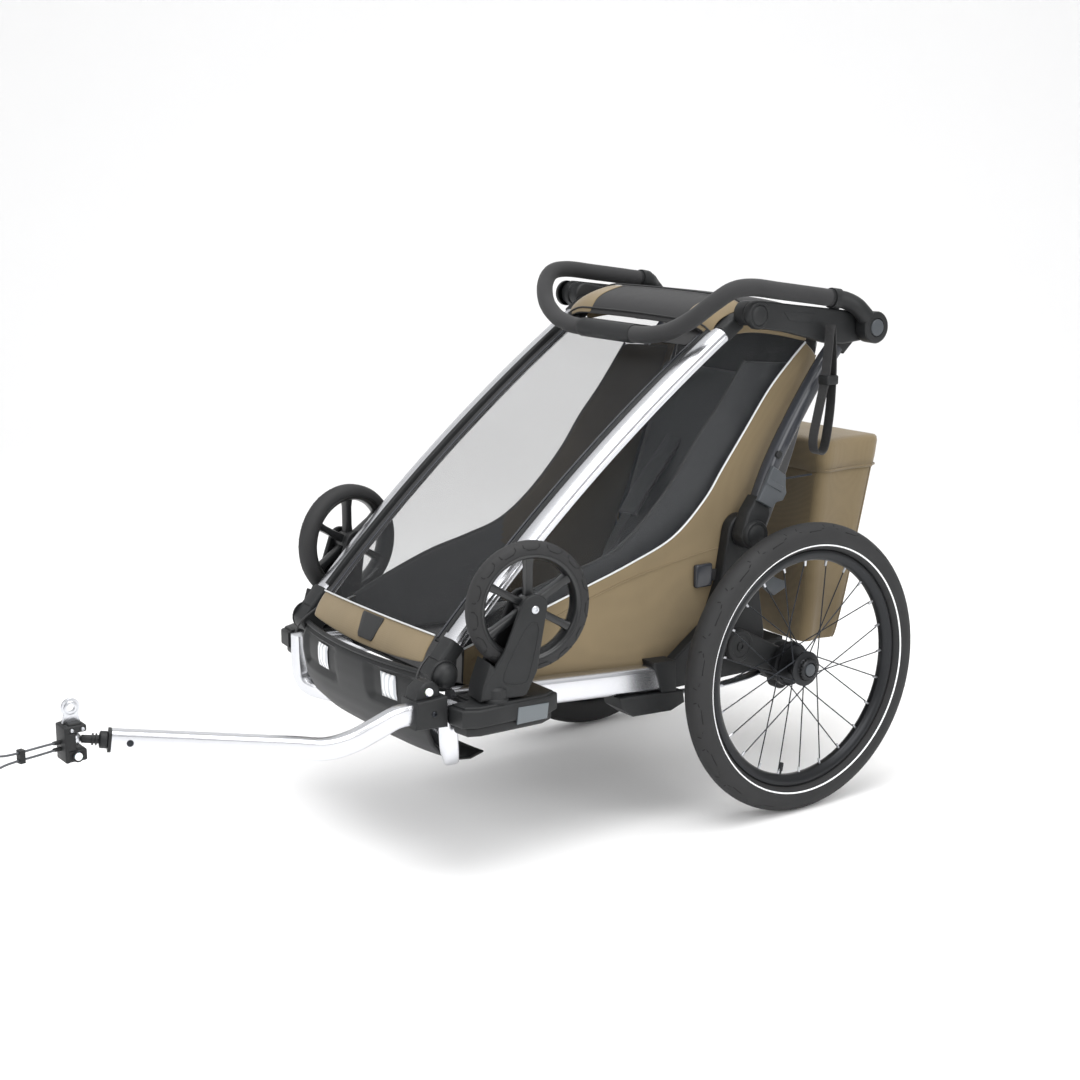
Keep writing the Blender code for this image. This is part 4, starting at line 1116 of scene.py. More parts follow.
def ring_of_copies(name, pattern, centre, count, finish, body=None):
    """Geometry Nodes: a pattern made at the wheel's top, repeated round the X axis through a centre."""
    tree = bpy.data.node_groups.new(name + "_ring", "GeometryNodeTree")
    tree.is_modifier = True
    face = tree.interface
    face.new_socket("Geometry", in_out="INPUT", socket_type="NodeSocketGeometry")
    sockets = {}
    for label, kind, value in (
        ("Copies", "NodeSocketInt", count),
        ("Centre", "NodeSocketVector", tuple(centre)),
        ("Finish", "NodeSocketMaterial", finish),
    ):
        made = face.new_socket(label, in_out="INPUT", socket_type=kind)
        sockets[made.identifier] = value
    face.new_socket("Geometry", in_out="OUTPUT", socket_type="NodeSocketGeometry")
    given = add_node(tree, "NodeGroupInput")
    sites = add_node(tree, "GeometryNodePoints", links={"Count": given.outputs["Copies"]})
    index = add_node(tree, "GeometryNodeInputIndex")
    step = add_node(
        tree, "ShaderNodeMath", {"operation": "DIVIDE"}, {0: 2 * math.pi}, {1: given.outputs["Copies"]}
    )
    turn = add_node(
        tree, "ShaderNodeMath", {"operation": "MULTIPLY"}, links={0: step.outputs[0], 1: index.outputs[0]}
    )
    angles = add_node(tree, "ShaderNodeCombineXYZ", links={"X": turn.outputs[0]})
    rotation = add_node(tree, "FunctionNodeEulerToRotation", links={0: angles.outputs[0]})
    copies = add_node(
        tree,
        "GeometryNodeInstanceOnPoints",
        links={
            "Points": sites.outputs[0],
            "Instance": given.outputs["Geometry"],
            "Rotation": rotation.outputs[0],
        },
    )
    placed = add_node(
        tree,
        "GeometryNodeTransform",
        links={"Geometry": copies.outputs[0], "Translation": given.outputs["Centre"]},
    )
    real = add_node(tree, "GeometryNodeRealizeInstances", links={"Geometry": placed.outputs[0]})
    painted = add_node(
        tree, "GeometryNodeSetMaterial", links={"Geometry": real.outputs[0], "Material": given.outputs["Finish"]}
    )
    add_node(tree, "NodeGroupOutput", links={"Geometry": painted.outputs[0]})
    modifier = pattern.modifiers.new("ring", "NODES")
    modifier.node_group = tree
    for identifier, value in sockets.items():
        modifier[identifier] = value
    bpy.context.view_layer.update()
    mesh = bpy.data.meshes.new_from_object(pattern.evaluated_get(bpy.context.evaluated_depsgraph_get()))
    bpy.data.objects.remove(pattern)
    ring = bpy.data.objects.new(name, mesh)
    bpy.context.scene.collection.objects.link(ring)
    if body:
        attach(ring, body)
    return ring


# Tread marks: the moulded hexagon outlines on the shoulder, 18 round the tyre, drawn as thin raised strips in a
# near-black rubber that is painted shade standing for the dark inside of the grooves.
points, faces = [], []
for mark in ([(-6.0, 64), (-6.6, 48), (-3.2, 34), (2.6, 33)], [(5.4, 36), (8.4, 50), (7.8, 66)]):
    path = []
    for (a, b), (c, d) in zip(mark, mark[1:]):
        path += [(a + (c - a) * i / 4, b + (d - b) * i / 4) for i in range(4)]
    path.append(mark[-1])
    base = len(points)
    for i, (turn, section_turn) in enumerate(path):
        ahead, behind = path[min(i + 1, len(path) - 1)], path[max(i - 1, 0)]
        run = Vector(((ahead[0] - behind[0]) * 0.00425, (ahead[1] - behind[1]) * 0.00041)).normalized()
        for wide in (-0.0009, 0.0009):
            a = math.radians(turn) - run.y * wide / 0.245
            b = math.radians(section_turn) + run.x * wide / TYRE_SECTION
            points.append(on_tyre(a + math.pi / 2, b, 0.0002) - wheel_centre)
    for i in range(len(path) - 1):
        k = base + 2 * i
        faces.append((k, k + 1, k + 3, k + 2))
marks = new_piece("tread_marks_left", points, faces, groove_painted_shade)
marks.modifiers.new("wall", "SOLIDIFY").thickness = 0.0008
marks = finished(marks)
marks = ring_of_copies("tread_marks_left", marks, wheel_centre, 18, groove_painted_shade)
both(marks, "wheel_SIDE")

rim_half = [
    (0.0112, 0.2050), (0.0126, 0.2035), (0.0129, 0.1990), (0.0118, 0.1952), (0.0092, 0.1905),
    (0.0060, 0.1875), (0.0025, 0.1863)
]
profile = rim_half + [(-a, r) for a, r in rim_half[::-1]]
rim = lathe("rim_left", profile, wheel_centre, painted_alloy, steps=128, closed=True, angle=45)
both(rim, "wheel_SIDE", ["rim_SIDE"])

SPOKES, SPOKE_RADIUS = 24, 0.0011
points, faces = [], []
for i in range(4):
    rim_turn = math.pi / 2 + 2 * math.pi * i / SPOKES
    lead = math.radians(62 if i < 2 else -62)
    flange_x, flange_radius = (0.0080, 0.0270) if i % 2 else (-0.0220, 0.0300)
    start = Vector((flange_x, flange_radius * math.cos(rim_turn + lead), flange_radius * math.sin(rim_turn + lead)))
    end = Vector((0.0, 0.1900 * math.cos(rim_turn), 0.1900 * math.sin(rim_turn)))
    along = (end - start).normalized()
    wide = along.cross(Vector((1, 0, 0))).normalized()
    deep = along.cross(wide)
    base = len(points)
    for place in (start, end):
        for k in range(6):
            t = math.pi * k / 3
            points.append(place + (wide * math.cos(t) + deep * math.sin(t)) * SPOKE_RADIUS)
    faces += [(base + k, base + (k + 1) % 6, base + 6 + (k + 1) % 6, base + 6 + k) for k in range(6)]
    faces += [tuple(base + k for k in range(6)), tuple(base + 6 + k for k in range(6))]
spokes = new_piece("spokes_left", points, faces, black_steel)
spokes = ring_of_copies("spokes_left", spokes, wheel_centre, SPOKES // 4, black_steel)
both(spokes, "wheel_SIDE")
profile = [(0.1770, 0.0015), (0.1775, 0.0021), (0.1860, 0.0023), (0.1900, 0.0023)]
nipple = lathe("nipples_left", profile, (0, 0, 0), satin_steel, steps=10, axis=(0, 0, 1))
nipples = ring_of_copies("nipples_left", nipple, wheel_centre, SPOKES, satin_steel)
both(nipples, "wheel_SIDE")

profile = [
    (0.0205, 0.0128),
    (0.0205, 0.0165),
    (0.0190, 0.0185),
    (0.0140, 0.0190),
    (0.0120, 0.0205),
    (0.0100, 0.0300),
    (0.0062, 0.0300),
    (0.0045, 0.0190),
    (-0.0180, 0.0180),
    (-0.0200, 0.0330),
    (-0.0250, 0.0330),
    (-0.0262, 0.0380),
    (-0.0340, 0.0385),
    (-0.0345, 0.0),
    (0.0140, 0.0),
    (0.0140, 0.0128),
]
hub = lathe("wheel_hub_left", profile, wheel_centre, painted_alloy, steps=48, angle=30)
both(hub, "wheel_SIDE", ["wheel_hub_SIDE"])
tooth = rounded_block(
    "hub_knurl_left", (0.0100, -0.0016, 0.0182), (0.0192, 0.0016, 0.0200), black_nylon, bevel=0.0006,
    segments=1
)
knurl = ring_of_copies("hub_knurl_left", tooth, wheel_centre, 20, black_nylon)
both(knurl, "wheel_SIDE")
profile = [(-0.0020, 0.0112), (-0.0010, 0.0112), (0.0008, 0.0105), (0.0016, 0.0080), (0.0019, 0.0)]
axle_button = lathe("axle_button_left", profile, wheel_centre + Vector((0.0205, 0, 0)), grey_nylon, steps=32)
both(axle_button, "axle_button_SIDE", ["axle_button_SIDE"])
turn = math.radians(-104)
valve_foot = wheel_centre + Vector((0, 0.187 * math.cos(turn), 0.187 * math.sin(turn)))
valve_axis = (wheel_centre - valve_foot).normalized()
profile = [(0.0, 0.0033), (0.0060, 0.0031), (0.0062, 0.0043), (0.0195, 0.0039), (0.0205, 0.0030), (0.0205, 0.0)]
valve = lathe("valve_left", profile, valve_foot, black_nylon, steps=16, axis=valve_axis)
both(valve, "wheel_SIDE")

# The fixed drum and brake housing behind the hub, and the brake's lever block.
drum = lathe(
    "brake_drum_left",
    [(-0.026, 0.0), (-0.026, 0.030), (-0.022, 0.034), (-0.003, 0.036), (0.0, 0.034), (0.0, 0.0)],
    (0.2400, *AXLE),
    black_nylon,
    steps=40,
)
both(drum, "suspension_SIDE")
caliper = slab(
    "brake_housing_left",
    [arc((0.010, 0.2130), 0.0165, 160, 380) + [(0.024, 0.246), (-0.004, 0.246)]],
    0.2130,
    0.2380,
    black_nylon,
    bevel=0.004,
    segments=3,
)
both(caliper, "suspension_SIDE")

# ---------------------------------------------------------------- Parking brake
# A nylon foot lever on the axle beam, and the rubber-tipped wheel stops.

refinish(black_nylon, "brake_pedal")
tab = slab(
    "bag_hook_left",
    [[(-0.036, 0.3960), (-0.022, 0.4080), (0.022, 0.3850), (0.040, 0.3780), (0.038, 0.3660), (0.012, 0.3560)]],
    0.196, 0.2080, grey_nylon, bevel=0.002
)
both(tab, "chassis")

# ---------------------------------------------------------------- Stroller wheels
# Small wheels stowed upside down: a rubber tyre on a gloss six-spoke moulding,
# in a two-bladed fork whose stem plugs into the wing.

SMALL_AXLE = Vector((0.277, -0.554, 0.437))
SMALL_TOE = math.radians(9.7)
HALF = 0.016
toe_place = Matrix.Translation(SMALL_AXLE) @ Matrix.Rotation(-SMALL_TOE, 4, "Z")


def toed(piece):
    """Puts a piece made about the origin at the small axle, turned by the wheel's toe."""
    piece.data.transform(toe_place)
    return piece


gloss_black, tree, shader = new_material("gloss_moulded_nylon", "#1B1C1D", 0.30)
grained(gloss_black, 0.0020, 0.00005)
profile = [
    (HALF - 0.003, 0.0810),
    (HALF - 0.0005, 0.0830),
    (HALF, 0.0870),
    (HALF - 0.0005, 0.0930),
    (HALF - 0.0045, 0.0985),
    (0.0060, 0.1010),
    (0.0, 0.1013),
]
profile = profile + [(-a, r) for a, r in profile[-2::-1]]
small_tyre = toed(lathe("stroller_tyre_left", profile, (0, 0, 0), tyre_rubber, steps=96, closed=True, angle=50))
both(small_tyre, "stroller_wheel_SIDE", ["stroller_wheel_SIDE"])
half_rim = [
    (HALF - 0.0020, 0.0835), (HALF - 0.0005, 0.0820), (HALF - 0.0010, 0.0790), (HALF - 0.0045, 0.0760),
    (0.0040, 0.0738)
]
profile = half_rim + [(-a, r) for a, r in half_rim[::-1]]
small_rim = toed(lathe("stroller_rim_left", profile, (0, 0, 0), gloss_black, steps=96, closed=True, angle=40))
both(small_rim, "stroller_wheel_SIDE")
profile = [
    (0.0178, 0.0), (0.0178, 0.0120), (0.0160, 0.0165), (0.0100, 0.0190), (-0.0100, 0.0190), (-0.0160, 0.0165),
    (-0.0178, 0.0120), (-0.0178, 0.0)
]
small_hub = toed(lathe("stroller_hub_left", profile, (0, 0, 0), gloss_black, steps=36))
both(small_hub, "stroller_wheel_SIDE")
spoke = swept(
    "stroller_spokes_left", [(0, 0, 0.014), (0, 0, 0.030), (0, 0, 0.062), (0, 0, 0.0765)],
    box_section(0.0130, 0.0170, 0.0030, 2), gloss_black, up=(1, 0, 0), widths=[1.1, 0.92, 0.92, 1.15]
)
small_spokes = toed(ring_of_copies("stroller_spokes_left", spoke, (0, 0, 0), 6, gloss_black))
both(small_spokes, "stroller_wheel_SIDE")
# The small tyre's tread marks, drawn in the same near-black painted shade of the grooves.
points, faces = [], []
for mark in ([(-8.0, 0.0990), (-8.0, 0.0950), (-4.0, 0.0905), (4.0, 0.0905), (8.0, 0.0950), (8.0, 0.0990)],):
    for i, (turn, radius) in enumerate(mark):
        ahead, behind = mark[min(i + 1, len(mark) - 1)], mark[max(i - 1, 0)]
        run = Vector(((ahead[0] - behind[0]) * 0.00165, ahead[1] - behind[1])).normalized()
        for wide in (-0.0006, 0.0006):
            a = math.pi / 2 + math.radians(turn) - run.y * wide / 0.095
            r = radius + run.x * wide
            reach = HALF + 0.0002 - max(0.0, r - 0.0930) * 0.75
            points.append(Vector((reach, r * math.cos(a), r * math.sin(a))))
for i in range(5):
    faces.append((2 * i, 2 * i + 1, 2 * i + 3, 2 * i + 2))
marks = new_piece("stroller_marks_left", points, faces, groove_painted_shade)
marks.modifiers.new("wall", "SOLIDIFY").thickness = 0.0006
marks = toed(ring_of_copies("stroller_marks_left", finished(marks), (0, 0, 0), 15, groove_painted_shade))
both(marks, "stroller_wheel_SIDE")

blade_outline = arc((0, 0), 0.0235, 20, 165) + [
    (-0.050, -0.060), (-0.082, -0.106), (-0.088, -0.132), (-0.014, -0.132), (0.004, -0.096)
]
blades = [
    toed(slab("fork_outer_blade_left", [blade_outline], 0.0185, 0.0270, black_nylon, bevel=0.003, segments=3)),
    toed(slab("fork_inner_blade_left", [blade_outline], -0.0270, -0.0185, black_nylon, bevel=0.003, segments=3)),
]
crown_outline = arc((0, 0), 0.1052, 226, 268) + [
    (-0.008, -0.112), (-0.016, -0.134), (-0.090, -0.134), (-0.086, -0.112)
]
crown = toed(slab("fork_crown_left", [crown_outline], -0.0265, 0.0265, black_nylon, bevel=0.004, segments=3))
both(blades[0], "stroller_fork_SIDE", ["stroller_fork_SIDE"])
both(blades[1], "stroller_fork_SIDE")
both(crown, "stroller_fork_SIDE")
panel_outline = [
    (-0.012, -0.024), (0.006, -0.028), (-0.008, -0.094), (-0.018, -0.112), (-0.046, -0.110), (-0.052, -0.096),
    (-0.034, -0.060)
]
frame_outline = curved([(0, *p) for p in panel_outline], 4, closed=True)
panel_ring = toed(
    swept(
        "fork_panel_bead_left", [(0.0270, p.y, p.z) for p in frame_outline], round_section(0.0009, 6),
        black_nylon, up=(1, 0, 0), closed=True
    )
)
both(panel_ring, "stroller_fork_SIDE")
bolt = lathe(
    "fork_bolt_left",
    [(-0.001, 0.0062), (0.0012, 0.0062), (0.0024, 0.0050), (0.0026, 0.0030), (0.0008, 0.0026), (0.0008, 0.0)],
    (0.0270, 0, 0),
    satin_steel,
    steps=28,
)
both(toed(bolt), "stroller_fork_SIDE")
profile = [(-0.036, 0.0140), (0.0012, 0.0140), (0.0020, 0.0180), (0.0180, 0.0185), (0.0220, 0.0150)]
stem = lathe("fork_stem_left", profile, (0.280, -0.616, 0.3010), black_nylon, steps=36, axis=(0, 0, 1))
both(stem, "stroller_fork_SIDE")

# ---------------------------------------------------------------- Hitch arm
# One bent length of anodised rectangular tube with rounded corners, which ends
# in a black sleeve with a cross bolt. Its tongue locks in the receiver.

ARM_END = Vector((0.120, -1.167, 0.300))
ARM_ROUTE = [
    (0.2400, -0.7300, 0.2912),
    (0.2400, -0.7480, 0.2910),
    (0.2400, -0.7700, 0.2890),
    (0.2360, -0.8000, 0.2770),
    (0.2290, -0.8350, 0.2630),
    (0.2200, -0.8750, 0.2570),
    (0.2040, -0.9217, 0.2639),
    (0.1800, -0.9918, 0.2742),
    (0.1500, -1.0794, 0.2871),
    tuple(ARM_END),
]
arm = swept("hitch_arm", curved(ARM_ROUTE, 8), box_section(0.025, 0.0315, 0.0065, 4), anodised, "hitch_arm", angle=30)
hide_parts("hitch_arm")
along = (ARM_END - Vector((0.1500, -1.0794, 0.2871))).normalized()
end_route = [ARM_END - along * 0.004, ARM_END + along * 0.0004]
end_frame = swept("hitch_arm_end", end_route, box_section(0.0265, 0.0328, 0.0068, 4), black_nylon, "hitch_arm")
bolt_place = ARM_END - along * 0.030
sideways = along.cross(Vector((0, 0, 1))).normalized()
for number, turn in enumerate((1, -1)):
    bolt = lathe(
        f"hitch_arm_bolt_{number}",
        [(-0.001, 0.0050), (0.0006, 0.0050), (0.0010, 0.0040), (0.0004, 0.0032), (0.0004, 0.0)],
        bolt_place + sideways * turn * 0.0125,
        black_steel,
        "hitch_arm",
        24,
        sideways * turn,
    )

# ---------------------------------------------------------------- Coupler
# A nylon cup that snaps over the steel ball on the arm's stem. It has a white
# lock button, a strap slot below, and a stamped steel eyelet for the axle.

BALL = Vector((0.1046, -1.2120, 0.3066))
stem_axis = (BALL - ARM_END).normalized()
profile = [
    (0.0006, 0.0), (0.0006, 0.0110), (0.0020, 0.0125), (0.0105, 0.0125), (0.0120, 0.0110), (0.0130, 0.0062),
    (0.0370, 0.0058)
]
ball_stem = lathe("ball_stem", profile, ARM_END, black_nylon, "ball_stem", 32, stem_axis)
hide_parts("ball_stem")
for number, reach in enumerate((0.0165, 0.0215)):
    rib = lathe(
        f"stem_rib_{number}", [(-0.0012, 0.0056), (-0.0010, 0.0088), (0.0010, 0.0088), (0.0012, 0.0056)],
        ARM_END + stem_axis * reach, black_nylon, "ball_stem", 28, stem_axis
    )
profile = [
    (0.0110 * math.sin(math.radians(t)), max(0.0, 0.0110 * math.cos(math.radians(t)))) for t in range(-90, 91, 10)
]
ball = lathe("hitch_ball", profile, BALL, satin_steel, "hitch_ball", 32, angle=60)
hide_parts("hitch_ball")

x, y, z = BALL
cup_parts = [
    rounded_block(
        "coupler_back", (x - 0.018, y - 0.0185, z - 0.030), (x + 0.018, y - 0.0115, z + 0.0225), black_nylon,
        "coupler", 0.0025
    ),
    rounded_block(
        "coupler_top", (x - 0.018, y - 0.0165, z + 0.0125), (x + 0.018, y + 0.0142, z + 0.0232), black_nylon,
        "coupler", 0.0028
    ),
    rounded_block(
        "coupler_foot", (x - 0.018, y - 0.0165, z - 0.0302), (x + 0.0155, y + 0.0142, z - 0.0128),
        black_nylon, "coupler", 0.0028
    ),
    rounded_block(
        "coupler_lug", (x + 0.0120, y - 0.0150, z - 0.0128), (x + 0.0180, y - 0.0020, z + 0.0135),
        black_nylon, "coupler", 0.0022
    ),
    rounded_block(
        "coupler_lug_far", (x - 0.0180, y - 0.0150, z - 0.0128), (x - 0.0120, y - 0.0020, z + 0.0135),
        black_nylon, "coupler", 0.0022
    ),
    rounded_block(
        "coupler_rib", (x - 0.0145, y - 0.0110, z + 0.0215), (x + 0.0145, y + 0.0090, z + 0.0262),
        black_nylon, "coupler", 0.0018
    ),
]
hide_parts("coupler_cup")
ring = lathe(
    "coupler_button_ring",
    [(0.0140, 0.0064), (0.0178, 0.0064), (0.0188, 0.0072), (0.0178, 0.0084), (0.0140, 0.0084)],
    (x, y, z - 0.0220), black_nylon, "coupler", 32, closed=True
)
cup_button = lathe(
    "coupler_button", [(0.0150, 0.0058), (0.0185, 0.0058), (0.0198, 0.0048), (0.0202, 0.0)],
    (x, y, z - 0.0220), white_acetal, "coupler_button", 28
)
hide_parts("coupler_button")
for number, (dy, dz) in enumerate([(-0.0080, 0.0175), (0.0080, 0.0175)]):
    socket_screw(f"coupler_screw_{number}", (x + 0.0178, y + dy, z + dz), (1, 0, 0), 0.0028, satin_steel, "coupler")
eye = (y - 0.002, z + 0.046)
outline = arc(eye, 0.0135, -40, 220, 24) + [(y - 0.015, z + 0.0245), (y + 0.011, z + 0.0245)]
eyelet = slab(
    "axle_eyelet", [outline[::-1], arc(eye, 0.0055, 0, 345, 23)], x - 0.002, x + 0.002, satin_steel,
    "coupler", bevel=0.0005
)
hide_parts("axle_eyelet")
washer = lathe(
    "eyelet_washer",
    [(0.0020, 0.0058), (0.0020, 0.0095), (0.0034, 0.0098), (0.0040, 0.0088), (0.0040, 0.0058)], (x, *eye),
    satin_steel, "coupler", 32, closed=True
)
for number, height in enumerate((0.3045, 0.2948)):
    ferrule = lathe(
        f"leash_ferrule_{number}", [(-0.001, 0.0032), (0.009, 0.0030), (0.012, 0.0024)], (x, -1.2300, height),
        black_nylon, "coupler", 16, (0, -1, 0)
    )

# ---------------------------------------------------------------- Cabin sides
# Sand-brown polyester lower sides with a reflective piping, smoked film side
# windows above it, and dark liners inside.


def creased(piece):
    """Gives a soft piece on the chassis its own copy of its mesh."""
    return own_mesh(piece)


# Smoked TPU window film: thin, clear, glossy, with soft ripples from the stretch.
film, tree, shader = new_material("smoked_window_film", "#4A4D50", 0.10, Alpha=0.10)
place = add_node(tree, "ShaderNodeTexCoord")
ripple = add_node(
    tree, "ShaderNodeTexNoise", values={
        "Scale": 7.0, "Detail": 1.5, "Distortion": 1.2
    }, links={"Vector": place.outputs["Object"]}
)
bump = add_node(
    tree, "ShaderNodeBump", values={"Strength": 0.7, "Distance": 0.010}, links={"Height": ripple.outputs["Fac"]}
)
tree.links.new(bump.outputs["Normal"], shader.inputs["Normal"])
# Reflective piping: grey bead film round a cord.
piping_film, tree, shader = new_material("reflective_piping", "#D7D9DA", 0.35, 0.35)
grained(piping_film, 0.0012, 0.0001)
# Nylon webbing: ribbed, slightly glossy.
webbing = woven("black_nylon_webbing", "#252526", "#202021", 0.0016, 0.00012, 0.60, 0.15)
liner_cloth = woven("charcoal_liner_polyester", "#3D3D3E", "#373738")

UPPER_LINE = [
    (-0.612, 0.358),
    (-0.530, 0.381),
    (-0.450, 0.403),
    (-0.375, 0.424),
    (-0.286, 0.450),
    (-0.198, 0.483),
    (-0.132, 0.538),
    (-0.093, 0.588),
    (-0.044, 0.650),
    (0.005, 0.712),
    (0.050, 0.756),
    (0.087, 0.788),
]
LOWER_LINE = [
    (-0.615, 0.300),
    (-0.540, 0.292),
    (-0.460, 0.287),
    (-0.380, 0.281),
    (-0.270, 0.266),
    (-0.165, 0.258),
    (-0.064, 0.262),
    (-0.026, 0.420),
    (-0.010, 0.545),
    (0.034, 0.620),
    (0.078, 0.688),
    (0.112, 0.764),
]
TOP_LINE = [tuple(rail_point(0, 0.016, reach).yz) for reach in (0.036, 0.130, 0.225, 0.315, 0.420, 0.530, 0.628)]
TOP_LINE += [(-0.100, 0.8070), (-0.049, 0.8120), (0.002, 0.8070), (0.046, 0.7985), (0.0885, 0.7888)]


def side_grid(upper, lower, x, rows, wave, steps=4):
    """Rows of points between two lines in the side view, with a bulge out between them."""
    upper = curved([(0, *p) for p in upper], steps)
    lower = curved([(0, *p) for p in lower], steps)
    grid = []
    for i in range(rows + 1):
        share = i / rows
        row = []
        for k, (a, b) in enumerate(zip(upper, lower)):
            spot = a.lerp(b, share)
            swell = math.sin(math.pi * share) * math.sin(
                math.pi * min(1.0, k / 6)
            ) if k < 6 else math.sin(math.pi * share)
            ruck = math.sin(spot.y * 31 + spot.z * 17) * 0.5 + math.sin(spot.y * 13 - spot.z * 29 + 1.3)
            row.append((x + swell * (wave + ruck * wave * 0.3), spot.y, spot.z))
        grid.append(row)
    return grid


def piped(name, line, x, radius, finish, steps=6, out=0.0):
    """A corded seam along a line in the side view."""
    return swept(name, curved([(x + out, *p) for p in line], steps), round_section(radius, 8), finish)


side = cloth_sheet(
    "side_panel_left", side_grid(UPPER_LINE, LOWER_LINE, 0.1865, 14, 0.0035), sand_cloth, thickness=0.0014
)
sides = both(side, "chassis")
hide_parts("cabin_shell")
window = cloth_sheet(
    "side_window_left", side_grid(TOP_LINE, UPPER_LINE, 0.1862, 10, 0.0022), film, thickness=0.0005, levels=1
)
windows = both(window, "chassis")
piping = both(piped("side_piping_left", UPPER_LINE, 0.1875, 0.0017, piping_film), "chassis")
SEAM_LINE = [
    (-0.600, 0.338), (-0.480, 0.372), (-0.372, 0.403), (-0.286, 0.425), (-0.197, 0.440), (-0.110, 0.452),
    (-0.040, 0.452)
]
welts = both(piped("side_welt_left", SEAM_LINE, 0.1885, 0.0011, sand_cloth, out=0.0012), "chassis")
arm_strip = [(y, z + 0.0125) for y, z in TOP_LINE[7:]]
strip = cloth_sheet(
    "arm_strip_left", side_grid(arm_strip, TOP_LINE[7:], 0.1868, 2, 0.0003), sand_cloth, thickness=0.0012
)
strips = both(strip, "chassis")
rear_edge = piped("side_binding_left", LOWER_LINE[6:], 0.1868, 0.0016, sand_cloth)
bindings = both(rear_edge, "chassis")
inner = cloth_sheet(
    "side_liner_left", side_grid(UPPER_LINE[:8], LOWER_LINE[:8], 0.1815, 8, 0.0), liner_cloth,
    thickness=0.0012
)
liners = both(inner, "chassis")
for group in (sides, windows, piping, welts, strips, bindings, liners):
    for piece in group:
        creased(piece)

# ---------------------------------------------------------------- Cabin back and floor
# One dark sheet from the roof's rear edge down behind the seat, and the floor
# liner that runs forward from it to the nose.

REAR_LINE = [
    (0.122, 0.806), (0.097, 0.690), (0.074, 0.612), (0.040, 0.530), (0.006, 0.460), (-0.028, 0.390),
    (-0.062, 0.266)
]
FLOOR_LINE = [(-0.612, 0.300), (-0.500, 0.291), (-0.380, 0.283), (-0.250, 0.268), (-0.150, 0.262), (-0.064, 0.264)]
for name, line in (("back_panel", REAR_LINE), ("floor_liner", FLOOR_LINE)):
    grid = []
    for spot in curved([(0, *p) for p in line], 4):
        row = []
        for k in range(17):
            x = -0.184 + 0.023 * k
            dish = 0.006 * (1 - (x / 0.184) ** 2)
            row.append(
                (x, spot.y + (dish if name == "back_panel" else 0), spot.z - (dish if name == "floor_liner" else 0))
            )
        grid.append(row)
    panel = cloth_sheet(name, grid, liner_cloth, "chassis", 0.0016)
    creased(panel)

gusset_front = [
    (0.112, 0.764), (0.078, 0.688), (0.034, 0.620), (-0.010, 0.545), (-0.022, 0.470), (-0.030, 0.400),
    (-0.064, 0.264)
]
gusset = cloth_sheet(
    "rear_gusset_left", side_grid(gusset_front, REAR_LINE, 0.1845, 4, 0.0006), liner_cloth, thickness=0.0014
)
for number, piece in enumerate(both(gusset, "chassis")):
    creased(piece)

# ---------------------------------------------------------------- Seat
# A padded bucket: cushion and backrest swollen by a cloth simulation, two side
# wings in lining cloth, and a five-point harness of flat webbing with a buckle.

seat_cloth = woven("dark_seat_polyester", "#333436", "#2D2E30", 0.0016)


def padded_block(name, outline, half, pressure, cap, finish):
    """A pad from a side-view outline, swollen by Cloth and capped, then smoothed."""
    pad = slab(name, [outline], -half, half, finish, bevel=0.008, segments=2)
    remesh = pad.modifiers.new("remesh", "REMESH")
    remesh.mode = "VOXEL"
    remesh.voxel_size = 0.006
    finished(pad)
    start = [v.co.copy() for v in pad.data.vertices]
    cloth = pad.modifiers.new("cloth", "CLOTH")
    cloth.settings.quality = 4
    cloth.settings.use_pressure = True
    cloth.settings.uniform_pressure_force = pressure
    cloth.settings.effector_weights.gravity = 0.0
    cloth.settings.mass = 0.3
    for frame_number in range(1, 21):
        bpy.context.scene.frame_set(frame_number)
    finished(pad)
    bpy.context.scene.frame_set(1)
    for vertex, home in zip(pad.data.vertices, start):
        move = vertex.co - home
        if move.length > cap:
            vertex.co = home + move.normalized() * cap
    for vertex in pad.data.vertices:
        channel = min(abs(vertex.co.x - s) for s in (-0.075, 0.075))
        if channel < 0.010:
            vertex.co.z -= 0.0022 * (1 - channel / 0.010)
    soft = pad.modifiers.new("soft", "SUBSURF")
    soft.levels = 1
    soft.render_levels = 1
    finished(pad, "chassis")
    pad.data.materials.clear()
    pad.data.materials.append(finish)
    for face in pad.data.polygons:
        face.material_index = 0
    pad.data.shade_smooth()
    return pad


cushion = padded_block(
    "seat_cushion", [
        (-0.420, 0.300), (-0.122, 0.296), (-0.122, 0.320), (-0.300, 0.322), (-0.424, 0.318)
    ], 0.154, 4.0, 0.006, seat_cloth
)
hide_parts("seat_base")
backrest = padded_block(
    "seat_backrest", [
        (-0.100, 0.305), (-0.082, 0.300), (0.070, 0.724), (0.056, 0.734), (0.046, 0.722)
    ], 0.154, 4.0, 0.006, seat_cloth
)
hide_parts("seat_back")
creased(cushion)
creased(backrest)

WING_FRONT = [
    (-0.030, 0.762), (-0.086, 0.689), (-0.131, 0.638), (-0.176, 0.578), (-0.242, 0.512), (-0.307, 0.468),
    (-0.380, 0.447), (-0.454, 0.430), (-0.540, 0.400), (-0.606, 0.372)
]
WING_BACK = [
    (0.072, 0.752), (0.052, 0.700), (0.022, 0.625), (-0.010, 0.530), (-0.040, 0.455), (-0.090, 0.330),
    (-0.200, 0.276), (-0.330, 0.287), (-0.480, 0.297), (-0.600, 0.306)
]
wing = cloth_sheet(
    "seat_wing_left", side_grid(WING_FRONT, WING_BACK, 0.1640, 12, 0.0030), seat_cloth, thickness=0.0030
)
